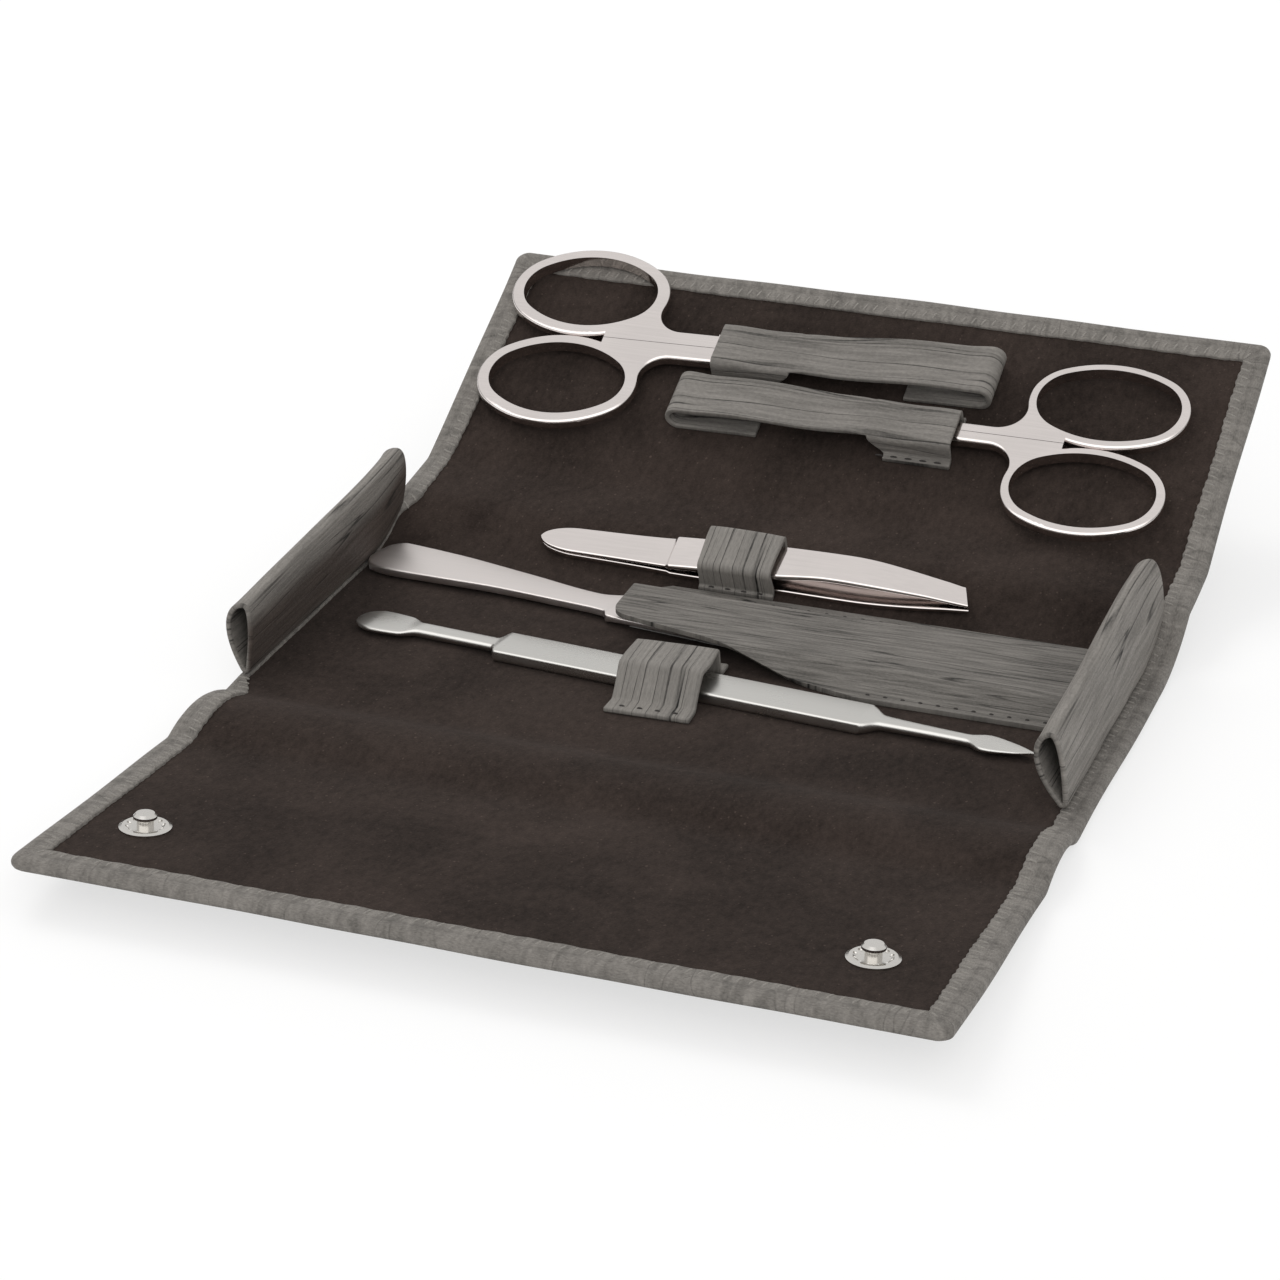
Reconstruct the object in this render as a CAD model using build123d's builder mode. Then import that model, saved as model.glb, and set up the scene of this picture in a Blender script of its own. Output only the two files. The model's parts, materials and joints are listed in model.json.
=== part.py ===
from build123d import *
from math import asin, atan2, cos, degrees, hypot, pi, radians, sin, tan
import os

os.makedirs("parts", exist_ok=True)

# A leather manicure case lying open on a table: front flap, front spine, base, back spine and cover
# follow each other along Y. X runs along the folds, Z is up, and the base rests on Z = 0.
# Every panel is described in side view by a path, the line of its fold axes and hem tops.
# A depth is measured down from that path, square to it, and a station is a length along it.

# Layers of a panel
hem_leather = 0.5
lining_thickness = 0.5
board_thickness = 0.7
outer_leather = 0.8
layer_fit = 0.02
panel_thickness = hem_leather + lining_thickness + board_thickness + outer_leather
board_depth = hem_leather + lining_thickness
leather_depth = board_depth + board_thickness

# Panels
case_width = 150.0
flap_length = 56.2
front_spine_length = 21.0
base_flat_length = 57.8
base_bend_radius = 29.8
base_bend_angle = 38.9
back_spine_length = 14.4
cover_length = 56.4
fold_back_y = -37.4
flap_slope = -5.2
front_spine_slope = -2.6
front_spine_hump = 2.5
back_spine_slope = 7.0
cover_slope = 25.8

# Hems, edges and folds
side_hem = 4.8
end_hem = 5.2
corner_radius = 2.4
edge_round = 0.7
fold_gap = 0.24
fold_relief = 9.0
bend_relief = 22.0
lining_tuck = 2.2
overcut = 0.6

# Closed case
spine_lean = 3.0
snap_clearance = 0.1

# Snap fasteners
snap_centre_x = -1.7
snap_side_inset = 15.6
snap_inset = 19.9
stud_plate_radius = 4.2
stud_plate_height = 0.6
stud_plate_edge = 0.36
stud_rim_slope = 0.5
stud_rim_width = 0.6
stud_knob_radius = 1.9
stud_neck_radius = 1.35
stud_knob_height = 2.6
stud_knob_crown = 0.4
stud_knob_flare = 0.3
stud_wall = 0.7
stud_dimple_radius = 0.4
stud_dimples = 12
rivet_shank_radius = 1.0
rivet_cap_radius = 4.6
rivet_cap_height = 0.7
rivet_fit = 0.05
rivet_head_radius = 3.4
rivet_head_height = 0.4
socket_radius = 4.8
socket_height = 2.5
socket_base = 0.4
socket_mouth_radius = 2.3
socket_cavity_radius = 2.9
socket_wall = 0.6
socket_lip = 0.2
socket_flare = 0.3
spring_wire = 0.35
spring_ring_radius = 2.4
spring_seat = 0.25
spring_gap_angle = 70.0

# End guards
guard_front_y = -31.0
guard_length = 68.0
guard_height = 13.3
guard_rear_height = 11.2
guard_bulge = 2.2
guard_belly = 0.66
guard_neck = 0.95
guard_leather = 0.9
guard_seat = 0.32
left_guard_inset = 1.4
right_guard_inset = 4.4
left_guard_lean = 0.0
right_guard_lean = 13.0

# Straps sewn to the base
strap_leather = 0.9
strap_seat = 0.06
sleeve_left_x = -21.4
sleeve_right_inset = 9.4
sleeve_near_y = -3.6
sleeve_far_y = 27.5
sleeve_room = 3.3
sleeve_edge = 3.0
sleeve_shoulder = 6.5
sleeve_corner = 8.0
sleeve_taper_x = 27.0
sleeve_tip_y = 8.6
pusher_loop_x = -4.3
pusher_loop_width = 15.0
pusher_loop_height = 6.2
pusher_loop_foot = 4.2
pusher_loop_spread = 13.2
pusher_loop_slope = 4.6
pusher_loop_turn = 2.0
tweezers_loop_x = -4.9
tweezers_loop_width = 13.8
tweezers_loop_height = 6.9
tweezers_loop_foot = 1.1
loop_room = 0.55
loop_bend = 2.4
strap_bend = 1.2
arch_bend = 0.8

# Cuticle pusher
pusher_left_inset = 10.8
pusher_right_inset = 12.8
pusher_y = -3.9
pusher_turn = -4.8
pusher_lift = 0.1
pusher_body_start = 27.6
pusher_body_tail = 30.4
pusher_body_width = 8.2
pusher_body_thickness = 2.3
pusher_paddle_length = 9.2
pusher_paddle_shoulder = 3.8
pusher_paddle_taper = 0.5
pusher_paddle_width = 7.8
pusher_paddle_thickness = 1.0
pusher_edge_thickness = 0.4
pusher_neck_width = 3.6
pusher_neck_thickness = 1.9
pusher_body_shoulder = 1.8
pusher_collar = 4.4
pusher_collar_width = 3.2
pusher_spear_neck = 2.4
pusher_spear_neck_thickness = 1.8
pusher_spear_length = 12.0
pusher_spear_shoulder = 3.4
pusher_spear_width = 5.4
pusher_spear_thickness = 1.1
pusher_tip_thickness = 0.3

# Nail file
file_side_inset = 5.2
file_y = 21.1
file_turn = -6.72
file_roll = 3.4
file_pitch = 0.2
file_lift = 0.8
file_handle_length = 50.6
file_handle_end = (-2.2, 0.0)
file_butt_far = ((-1.4, 3.8), (1.8, 5.9), (12.0, 5.6))
file_butt_near = ((12.0, -4.1), (3.0, -4.8), (-1.4, -3.6))
file_waist_far = ((22.6, 4.0), (7.6, 2.4), (2.2, 4.6))
file_waist_near = ((3.6, -4.6), (7.8, -2.9), (24.6, -3.0))
file_blade_length = 60.0
file_blade_width = 9.2
file_thickness = 1.6
file_blade_thickness = 1.0
file_step = 3.4
grit_thickness = 0.12
grit_margin = 0.3

# Tweezers
tweezers_x = -43.9
tweezers_y = 33.8
tweezers_length = 80.6
tweezers_lift = 0.42
tweezers_width = 7.3
tweezers_tip_width = 4.8
tweezers_arm = 1.15
tweezers_step = 25.6
tweezers_step_rise = 0.3
tweezers_root = 4.0
tweezers_root_gap = 0.1
tweezers_bow = 2.6
tweezers_tip_gap = 0.5
tweezers_tip_slant = 1.9

# Scissors, shared sizes
scissors_lift = 1.08
scissors_half_gap = 0.05
scissors_edge_round = 0.75
pivot_fit = 0.05
screw_head_height = 0.3
screw_slot = 0.5

# Nail scissors: place of the pivot on the cover, and sizes
nail_scissors = dict(
    pivot_x=-20.4, pivot_s=34.4, turn=2.2, thickness=2.4, ring_reach=35.6, ring_offset=11.7,
    ring_length=31.6, ring_width=23.2, band=2.35, end_radius=9.4, shank=3.6, web=6.0, web_round=5.0,
    blade=33.0, blade_back=2.9, edge_pass=0.8, screw=1.1, head=1.9,
)

# Cuticle scissors: place of the pivot on the cover, and sizes
cuticle_scissors = dict(
    pivot_x=17.6, pivot_s=21.8, turn=180.6, thickness=2.4, ring_reach=31.9, ring_offset=10.75,
    ring_length=30.4, ring_width=21.3, band=1.7, end_radius=9.2, shank=2.3, web=6.0, web_round=5.0,
    blade=34.0, blade_back=1.9, edge_pass=0.5, screw=0.8, head=1.5,
)

# Scissors sheaths: straps folded back at the closed end, x along the cover and s out from its fold
sheath_leather = 0.9
sheath_seat = 0.06
sheath_room = 0.8
sheath_foot = 1.9
sheath_bend = 1.0
nail_sheath = dict(
    mouth_x=-27.0, end_x=27.0, tab_x=10.4, tube=15.6, near_room=1.0, far_room=0.95,
    mouth_near=29.4, mouth_far=38.6, end_near=30.6, end_far=42.4,
)
cuticle_sheath = dict(
    mouth_x=23.5, end_x=-31.5, tab_x=-14.4, tube=16.0, near_room=2.6, far_room=0.9,
    mouth_near=16.2, mouth_far=25.2, end_near=15.6, end_far=26.0,
)


def fold_path(y, z, angle, *runs):
    """A path that starts at (y, z) in the direction of angle; a run is (length, radius), 0 for straight."""
    return dict(y=y, z=z, angle=radians(angle), runs=runs)


def path_state(path, station):
    """Point and direction of a path at a station."""
    y, z, angle, left = path["y"], path["z"], path["angle"], station
    for index, (length, radius) in enumerate(path["runs"]):
        last = index == len(path["runs"]) - 1
        step = left if last else min(left, length)
        if radius:
            turn = step / radius
            y += radius * (sin(angle + turn) - sin(angle))
            z -= radius * (cos(angle + turn) - cos(angle))
            angle += turn
        else:
            y += step * cos(angle)
            z += step * sin(angle)
        left -= step
        if abs(left) < 1e-9:
            break
    return y, z, angle


def path_length(path):
    """Length of a path."""
    return sum(length for length, radius in path["runs"])


def side_point(path, station, depth):
    """Side view point (y, z) at a station and a depth below the path."""
    y, z, angle = path_state(path, station)
    return y + depth * sin(angle), z - depth * cos(angle)


def panel_plane(path, x, station, depth):
    """Plane on a panel at a station and a depth, with its normal out of the lining."""
    y, z, angle = path_state(path, station)
    point = side_point(path, station, depth)
    return Plane(origin=(x, point[0], point[1]), x_dir=(1, 0, 0), z_dir=(0, -sin(angle), cos(angle)))


def draw_offset(path, depth, first, last):
    """Lines and arcs of the path's offset between two stations, drawn into the open BuildLine."""
    ends = [0.0]
    for length, radius in path["runs"]:
        ends.append(ends[-1] + length)
    inner = [end for end in ends[1:-1] if min(first, last) < end < max(first, last)]
    stops = [first] + sorted(inner, reverse=first > last) + [last]
    for start, stop in zip(stops, stops[1:]):
        middle = (start + stop) / 2
        run = max(index for index, end in enumerate(ends[:-1]) if index == 0 or end <= middle)
        if path["runs"][run][1]:
            points = [side_point(path, station, depth) for station in (start, middle, stop)]
            ThreePointArc(*points)
        else:
            Line(side_point(path, start, depth), side_point(path, stop, depth))


def layer_section(path, top, bottom, start, end):
    """Side view of one layer. start and end give the inset of each end as a function of depth."""
    full = path_length(path)
    with BuildSketch(Plane.YZ) as section:
        with BuildLine():
            draw_offset(path, top, start(top), full - end(top))
            Line(side_point(path, full - end(top), top), side_point(path, full - end(bottom), bottom))
            draw_offset(path, bottom, full - end(bottom), start(bottom))
            Line(side_point(path, start(bottom), bottom), side_point(path, start(top), top))
        make_face()
    return section.sketch


def fold_inset(relief):
    """Inset at a fold: half the gap, and more with depth by the relief angle, so that the fold can open."""
    return lambda depth: fold_gap / 2 + depth * tan(radians(relief))


def end_insets(reliefs, amount, past_fold=False):
    """The two insets of a layer: amount at a free end, and at a fold its own, or past it for a cut."""
    insets = []
    for relief in reliefs:
        if relief is None:
            insets.append(lambda depth: amount)
        elif past_fold:
            insets.append(lambda depth: -overcut)
        else:
            insets.append(fold_inset(relief))
    return insets


# Paths of the five panels. The base is laid first, the others follow from the folds.
fold_top = panel_thickness
base_bend_length = radians(base_bend_angle) * base_bend_radius
base_path = fold_path(
    fold_back_y, fold_top, 0.0, (base_flat_length, 0), (base_bend_length, base_bend_radius)
)
base_rear_y, base_rear_z, base_rear_angle = path_state(base_path, path_length(base_path))

back_spine_path = fold_path(base_rear_y, base_rear_z, back_spine_slope, (back_spine_length, 0))
spine_rear_y, spine_rear_z, spine_angle = path_state(back_spine_path, back_spine_length)
cover_path = fold_path(spine_rear_y, spine_rear_z, cover_slope, (cover_length, 0))

hump_radius = (front_spine_length**2 / 4 + front_spine_hump**2) / (2 * front_spine_hump)
hump_half_angle = asin(front_spine_length / 2 / hump_radius)
hump_length = 2 * hump_half_angle * hump_radius
fold_front_y = fold_back_y - front_spine_length * cos(radians(front_spine_slope))
fold_front_z = fold_top - front_spine_length * sin(radians(front_spine_slope))
front_spine_path = fold_path(
    fold_front_y, fold_front_z, front_spine_slope + degrees(hump_half_angle), (hump_length, -hump_radius)
)
flap_edge_y = fold_front_y - flap_length * cos(radians(flap_slope))
flap_edge_z = fold_front_z - flap_length * sin(radians(flap_slope))
flap_path = fold_path(flap_edge_y, flap_edge_z, flap_slope, (flap_length, 0))

# Each panel with the relief angles of its front and rear ends, None at a free edge
panels = {
    "front_flap": (flap_path, (None, fold_relief)),
    "front_spine": (front_spine_path, (fold_relief, fold_relief)),
    "base": (base_path, (fold_relief, bend_relief)),
    "back_spine": (back_spine_path, (bend_relief, fold_relief)),
    "cover": (cover_path, (fold_relief, None)),
}

# The closed case. The back spine stands upright and the cover lies over the base, sloping so that the
# flap lies parallel to it, one snap's height above it.
snap_height = stud_plate_height + socket_height + snap_clearance
closed_front_y = fold_back_y - front_spine_length * sin(radians(spine_lean))
closed_front_z = fold_top + front_spine_length * cos(radians(spine_lean))
closed_back_y = base_rear_y
closed_back_z = base_rear_z + back_spine_length
fold_span_y = closed_back_y - closed_front_y
fold_span_z = closed_front_z - closed_back_z
stack_height = panel_thickness + snap_height - hem_leather
closed_slope = asin(stack_height / hypot(fold_span_y, fold_span_z)) - atan2(fold_span_z, fold_span_y)

front_spine_closed = 90.0 - spine_lean + front_spine_slope
front_flap_closed = 180.0 + flap_slope - front_spine_closed - degrees(closed_slope)
back_spine_closed = 90.0 - back_spine_slope
cover_closed = 180.0 + degrees(closed_slope) - cover_slope - back_spine_closed

# A stud on the flap meets its socket where the flap's own length puts it on the closed cover.
stud_from_fold = flap_length - snap_inset
stud_to_back_fold = fold_span_y * cos(closed_slope) + fold_span_z * sin(closed_slope) - stud_from_fold
socket_station = stud_to_back_fold
fold_ranges = (front_spine_closed, front_flap_closed, back_spine_closed, cover_closed)
print("folds close by", [round(value, 2) for value in fold_ranges])

sides = {"left": -1, "right": 1}
flap_snaps = {}
cover_snaps = {}
for side, sign in sides.items():
    snap_x = snap_centre_x + sign * (case_width / 2 - snap_side_inset)
    flap_snaps[side] = panel_plane(flap_path, snap_x, snap_inset, hem_leather)
    cover_outside = panel_plane(cover_path, snap_x, socket_station, panel_thickness)
    cover_snaps[side] = Plane(cover_outside.origin, x_dir=(1, 0, 0), z_dir=-cover_outside.z_dir)


def save(part, label):
    """Label a finished piece and write its file."""
    part.label = label
    export_step(part, f"parts/{label}.step")
    return part


# Outer leather of each panel: a slab with the board's pocket under a turned-over hem, and the window
# in the hem that shows the lining.
for panel, (path, reliefs) in panels.items():
    with BuildPart() as outer:
        slab = layer_section(path, 0.0, panel_thickness, *end_insets(reliefs, 0.0))
        extrude(slab, amount=case_width / 2, both=True)
        free_end = -1 if reliefs[1] is None else 0
        if None in reliefs:
            across = path_state(path, 0)[2]
            square = Axis((0, 0, 0), (0, -sin(across), cos(across)))
            corners = outer.edges().filter_by(square).group_by(Axis.Y)[free_end]
            fillet(corners, corner_radius)
        rims = [edge for edge in outer.edges() if edge.length > panel_thickness * 1.5]
        long_rims = [edge for edge in rims if abs(abs(edge.center().X) - case_width / 2) < 0.01]
        if None in reliefs:
            end_faces = outer.faces().group_by(Axis.Y)[free_end]
            rounded = [edge for face in end_faces for edge in face.edges().filter_by(Axis.X)]
            turned = [
                edge for edge in outer.edges()
                if edge.geom_type == GeomType.CIRCLE and edge.radius < corner_radius + 0.1
            ]
            fillet(long_rims + rounded + turned, edge_round)
        else:
            fillet(long_rims, edge_round)
        pocket_width = case_width / 2 - outer_leather
        pocket_ends = end_insets(reliefs, outer_leather, past_fold=True)
        pocket = layer_section(path, hem_leather, leather_depth, *pocket_ends)
        extrude(pocket, amount=pocket_width, both=True, mode=Mode.SUBTRACT)
        window_width = case_width / 2 - side_hem
        window_ends = end_insets(reliefs, end_hem, past_fold=True)
        window = layer_section(path, -overcut, hem_leather, *window_ends)
        extrude(window, amount=window_width, both=True, mode=Mode.SUBTRACT)
        if panel == "front_flap":
            for plane in flap_snaps.values():
                with Locations(plane):
                    Cylinder(rivet_shank_radius + rivet_fit, 4 * panel_thickness, mode=Mode.SUBTRACT)
        if panel == "cover":
            for plane in cover_snaps.values():
                with Locations(plane):
                    Cylinder(rivet_shank_radius + rivet_fit, 4 * outer_leather, mode=Mode.SUBTRACT)
    save(outer.part, f"{panel}_outer_leather")

# Boards, one in each pocket. The front spine has a soft interlining in its place.
for panel, (path, reliefs) in panels.items():
    label = "front_spine_interlining" if panel == "front_spine" else f"{panel}_board"
    with BuildPart() as board:
        board_ends = end_insets(reliefs, outer_leather + layer_fit)
        sheet = layer_section(path, board_depth + layer_fit, leather_depth - layer_fit, *board_ends)
        extrude(sheet, amount=case_width / 2 - outer_leather - layer_fit, both=True)
        if panel == "front_flap":
            for plane in flap_snaps.values():
                with Locations(plane):
                    Cylinder(rivet_shank_radius + rivet_fit, 4 * panel_thickness, mode=Mode.SUBTRACT)
        if panel == "cover":
            for plane in cover_snaps.values():
                with Locations(plane):
                    Cylinder(rivet_head_radius + rivet_fit, 4 * panel_thickness, mode=Mode.SUBTRACT)
    save(board.part, label)

# Linings, tucked under the hem
for panel, (path, reliefs) in panels.items():
    with BuildPart() as lining:
        lining_ends = end_insets(reliefs, end_hem - lining_tuck)
        sheet = layer_section(path, hem_leather + layer_fit, board_depth - layer_fit, *lining_ends)
        extrude(sheet, amount=case_width / 2 - side_hem + lining_tuck, both=True)
        if panel == "front_flap":
            for plane in flap_snaps.values():
                with Locations(plane):
                    Cylinder(rivet_shank_radius + rivet_fit, 2 * panel_thickness, mode=Mode.SUBTRACT)
    save(lining.part, f"{panel}_lining")


# Snap studs: a dimpled plate with a knob, hollow below for the rivet that holds it
stud_bore_height = stud_knob_height - stud_wall
stud_rim = stud_plate_radius - stud_rim_slope
for side, plane in flap_snaps.items():
    with BuildPart() as stud:
        with BuildSketch(Plane.XZ) as profile:
            with BuildLine():
                Polyline(
                    (rivet_shank_radius + rivet_fit, 0.0),
                    (stud_plate_radius, 0.0),
                    (stud_plate_radius, stud_plate_edge),
                    (stud_rim, stud_plate_height),
                    (stud_rim - stud_rim_width, stud_plate_height),
                    (stud_rim - stud_rim_width - stud_rim_slope, stud_plate_edge),
                    (stud_neck_radius, stud_plate_edge),
                    (stud_neck_radius, stud_knob_height - 2 * stud_knob_crown - stud_knob_flare),
                    (stud_knob_radius, stud_knob_height - 2 * stud_knob_crown),
                    (stud_knob_radius, stud_knob_height - stud_knob_crown),
                    (stud_knob_radius - stud_knob_crown, stud_knob_height),
                    (0.0, stud_knob_height),
                    (0.0, stud_bore_height),
                    (rivet_shank_radius + rivet_fit, stud_bore_height),
                    close=True,
                )
            make_face()
        revolve(axis=Axis.Z)
        with Locations(Plane.XY.offset(stud_plate_height)):
            with PolarLocations((stud_plate_radius + stud_neck_radius) / 2, stud_dimples):
                Sphere(stud_dimple_radius, mode=Mode.SUBTRACT)
    save(plane.location * stud.part, f"{side}_stud")

# Stud rivets: a domed cap on the flap's outside and a shank that reaches into the stud
rivet_reach = panel_thickness - hem_leather
for side, plane in flap_snaps.items():
    with BuildPart() as rivet:
        with BuildSketch(Plane.XZ):
            with BuildLine():
                Line((0.0, -rivet_reach - layer_fit), (0.0, -rivet_reach - rivet_cap_height))
                ThreePointArc(
                    (0.0, -rivet_reach - rivet_cap_height),
                    (rivet_cap_radius * 0.6, -rivet_reach - rivet_cap_height * 0.8),
                    (rivet_cap_radius, -rivet_reach - layer_fit),
                )
                Line((rivet_cap_radius, -rivet_reach - layer_fit), (0.0, -rivet_reach - layer_fit))
            make_face()
        revolve(axis=Axis.Z)
        with BuildSketch(Plane.XY.offset(-rivet_reach - rivet_cap_height / 2)):
            Circle(rivet_shank_radius)
        extrude(amount=rivet_reach + rivet_cap_height / 2 + stud_bore_height - rivet_fit)
    save(plane.location * rivet.part, f"{side}_stud_rivet")

# Snap sockets: a rolled ring with a cavity, riveted to the cover's outside
for side, plane in cover_snaps.items():
    with BuildPart() as socket:
        with BuildSketch(Plane.XZ):
            with BuildLine():
                Polyline(
                    (rivet_shank_radius + rivet_fit, layer_fit),
                    (socket_radius, layer_fit),
                    (socket_radius, socket_base),
                    (socket_cavity_radius + socket_wall + socket_lip, socket_base + socket_flare),
                    (socket_cavity_radius + socket_wall, socket_height - 2 * socket_lip),
                    (socket_cavity_radius + socket_lip, socket_height),
                    (socket_mouth_radius + socket_lip, socket_height),
                    (socket_mouth_radius, socket_height - socket_lip),
                    (socket_mouth_radius, socket_height - socket_wall),
                    (socket_cavity_radius, socket_height - socket_wall - socket_lip),
                    (socket_cavity_radius, socket_base),
                    (rivet_shank_radius + rivet_fit, socket_base),
                    close=True,
                )
            make_face()
        revolve(axis=Axis.Z)
    save(plane.location * socket.part, f"{side}_socket")

# Spring rings inside the sockets, split so that they can open round the knob
spring_level = socket_base + spring_wire / 2 + spring_seat
for side, plane in cover_snaps.items():
    with BuildPart() as spring:
        with BuildLine():
            ring = CenterArc(
                (0, 0, spring_level), spring_ring_radius, spring_gap_angle / 2, 360 - spring_gap_angle
            )
        with BuildSketch(Plane(origin=ring @ 0, z_dir=ring % 0)):
            Circle(spring_wire / 2)
        sweep()
    save(plane.location * spring.part, f"{side}_socket_spring")

# Socket rivets, their heads in the board's hole and their shanks through the leather
for side, plane in cover_snaps.items():
    with BuildPart() as rivet:
        with BuildSketch(Plane.XY.offset(-outer_leather - layer_fit)):
            Circle(rivet_head_radius)
        extrude(amount=-rivet_head_height)
        with BuildSketch(Plane.XY.offset(-outer_leather - rivet_head_height / 2)):
            Circle(rivet_shank_radius)
        extrude(amount=outer_leather + rivet_head_height / 2 + socket_base)
    save(plane.location * rivet.part, f"{side}_socket_rivet")


def teardrop(plane, height, grow):
    """Teardrop section of an end guard on a plane, grow wider all round than the tube's bore."""
    half = guard_bulge - guard_leather + grow
    neck = guard_neck - guard_leather + grow
    top = height - guard_leather + grow
    foot = guard_leather - grow
    belly = height * guard_belly
    with BuildSketch(plane) as section:
        with BuildLine():
            ThreePointArc((-neck, foot + neck), (0, foot), (neck, foot + neck))
            Spline((neck, foot + neck), (half, belly), (0, top), tangents=((0, 1), (-1, 0)))
            Spline((0, top), (-half, belly), (-neck, foot + neck), tangents=((-1, 0), (0, -1)))
        make_face()
    return section.sketch


# End guards: leather tubes of teardrop section along the base's ends. The rear of each tube is lower,
# because its seam follows the base's bend while its top stays nearly straight.
guard_start = guard_front_y - fold_back_y
guard_bend = guard_start + guard_length - base_flat_length
guard_shares = [0.0, 0.76, 0.84, 0.92, 1.0]
guard_sides = {
    "left": (-1, case_width / 2 - left_guard_inset, left_guard_lean),
    "right": (1, case_width / 2 - right_guard_inset, right_guard_lean),
}
for side, (sign, root_x, lean) in guard_sides.items():
    sections = []
    tilt = radians(lean) * -sign
    for share in guard_shares:
        station = guard_start + share * guard_length
        y, z, angle = path_state(base_path, station)
        drop = max(0.0, station - base_flat_length) / guard_bend
        height = guard_height - (guard_height - guard_rear_height) * drop
        seam = (sign * root_x, y, z + guard_seat)
        root = Plane(origin=seam, x_dir=(cos(tilt), 0, -sin(tilt)), z_dir=(0, -1, 0))
        sections.append((root, height))
    with BuildPart() as guard:
        outsides = [teardrop(root, height, guard_leather) for root, height in sections]
        for near, far in zip(outsides, outsides[1:]):
            loft([near, far], ruled=True)
        bores = [teardrop(root, height, 0) for root, height in sections]
        for near, far in zip(bores, bores[1:]):
            loft([near, far], ruled=True, mode=Mode.SUBTRACT)
    save(guard.part, f"{side}_guard")


def base_station(y):
    """Station on the base's path of the point at y."""
    bent = y - fold_back_y - base_flat_length
    if bent <= 0:
        return y - fold_back_y
    return base_flat_length + base_bend_radius * asin(bent / base_bend_radius)


def above_base(station, height):
    """Side view point over the base's lining at a station, square to the lining."""
    return side_point(base_path, station, hem_leather - height)


# File sleeve: a wide strap with a foot along each long edge, rounded at the end where the file enters
strap_middle = strap_seat + strap_leather / 2
sleeve_roof = sleeve_room + strap_leather / 2
sleeve_right_x = case_width / 2 - sleeve_right_inset
sleeve_near = base_station(sleeve_near_y)
sleeve_far = base_station(sleeve_far_y)
with BuildPart() as file_sleeve:
    with BuildSketch(Plane.YZ.offset(sleeve_left_x)):
        with BuildLine():
            FilletPolyline(
                above_base(sleeve_near, strap_middle),
                above_base(sleeve_near + sleeve_edge, strap_middle),
                above_base(sleeve_near + sleeve_shoulder, sleeve_roof),
                above_base(sleeve_far - sleeve_shoulder, sleeve_roof),
                above_base(sleeve_far - sleeve_edge, strap_middle),
                above_base(sleeve_far, strap_middle),
                radius=loop_bend,
            )
        trace(line_width=strap_leather)
    extrude(amount=sleeve_right_x - sleeve_left_x)
    with BuildSketch() as sleeve_plan:
        with BuildLine():
            Polyline(
                (sleeve_right_x, sleeve_far_y + overcut),
                (sleeve_left_x, sleeve_far_y + overcut),
                (sleeve_left_x, sleeve_tip_y),
                (sleeve_taper_x, sleeve_near_y),
                (sleeve_taper_x, sleeve_near_y - overcut),
                (sleeve_right_x, sleeve_near_y - overcut),
                close=True,
            )
        make_face()
        left_corners = sleeve_plan.vertices().group_by(Axis.X)[0].sort_by(Axis.Y)
        fillet(left_corners[-1], sleeve_corner)
        fillet(left_corners[0], sleeve_corner / 2)
    extrude(amount=4 * sleeve_roof, mode=Mode.INTERSECT)
save(file_sleeve.part, "file_sleeve")

# Pusher loop, square to the pusher: a long stitched foot in front, a slope up to the crown, and a
# steep side behind the pusher that ends in a hidden foot
pusher_heading = radians(pusher_turn)
pusher_x = pusher_left_inset - case_width / 2
pusher_place = Location((pusher_x, pusher_y, fold_top - hem_leather + pusher_lift), (0, 0, pusher_turn))
pusher_loop_y = pusher_y + (pusher_loop_x - pusher_x) * tan(pusher_heading)
pusher_loop_seat = (pusher_loop_x, pusher_loop_y, fold_top - hem_leather)
pusher_loop_place = Location(pusher_loop_seat, (0, 0, pusher_loop_turn))
loop_crown = pusher_loop_height - strap_leather / 2
turned_room = pusher_loop_width / 2 * tan(radians(pusher_loop_turn - pusher_turn))
loop_side = pusher_body_width / 2 + loop_room + turned_room + strap_leather / 2
with BuildPart() as pusher_loop:
    with BuildSketch(Plane.YZ.offset(-pusher_loop_width / 2)):
        with BuildLine():
            FilletPolyline(
                (-pusher_loop_spread, strap_middle),
                (-pusher_loop_spread + pusher_loop_foot, strap_middle),
                (-pusher_loop_spread + pusher_loop_foot + pusher_loop_slope, loop_crown),
                (loop_side - strap_leather, loop_crown),
                (loop_side + strap_leather / 2, strap_middle),
                (loop_side + pusher_loop_foot, strap_middle),
                radius=strap_bend,
            )
        trace(line_width=strap_leather)
    extrude(amount=pusher_loop_width)
save(pusher_loop_place * pusher_loop.part, "pusher_loop")

# Tweezers loop, an arch with upright sides over the bend of the base. Its crown is flat over the
# tweezers and its feet follow the bend.
tweezers_station = base_station(tweezers_y)
tweezers_slope = path_state(base_path, tweezers_station)[2]
arch_side = tweezers_width / 2 + loop_room + strap_leather / 2
arch_crown = above_base(tweezers_station, tweezers_loop_height - strap_leather / 2)
crown_y = arch_side * cos(tweezers_slope)
crown_z = arch_side * sin(tweezers_slope)
with BuildPart() as tweezers_loop:
    with BuildSketch(Plane.YZ.offset(tweezers_loop_x - tweezers_loop_width / 2)):
        with BuildLine():
            FilletPolyline(
                above_base(tweezers_station - arch_side - tweezers_loop_foot, strap_middle),
                above_base(tweezers_station - arch_side, strap_middle),
                (arch_crown[0] - crown_y, arch_crown[1] - crown_z),
                (arch_crown[0] + crown_y, arch_crown[1] + crown_z),
                above_base(tweezers_station + arch_side, strap_middle),
                above_base(tweezers_station + arch_side + tweezers_loop_foot, strap_middle),
                radius=arch_bend,
            )
        trace(line_width=strap_leather)
    extrude(amount=tweezers_loop_width)
save(tweezers_loop.part, "tweezers_loop")


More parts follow.
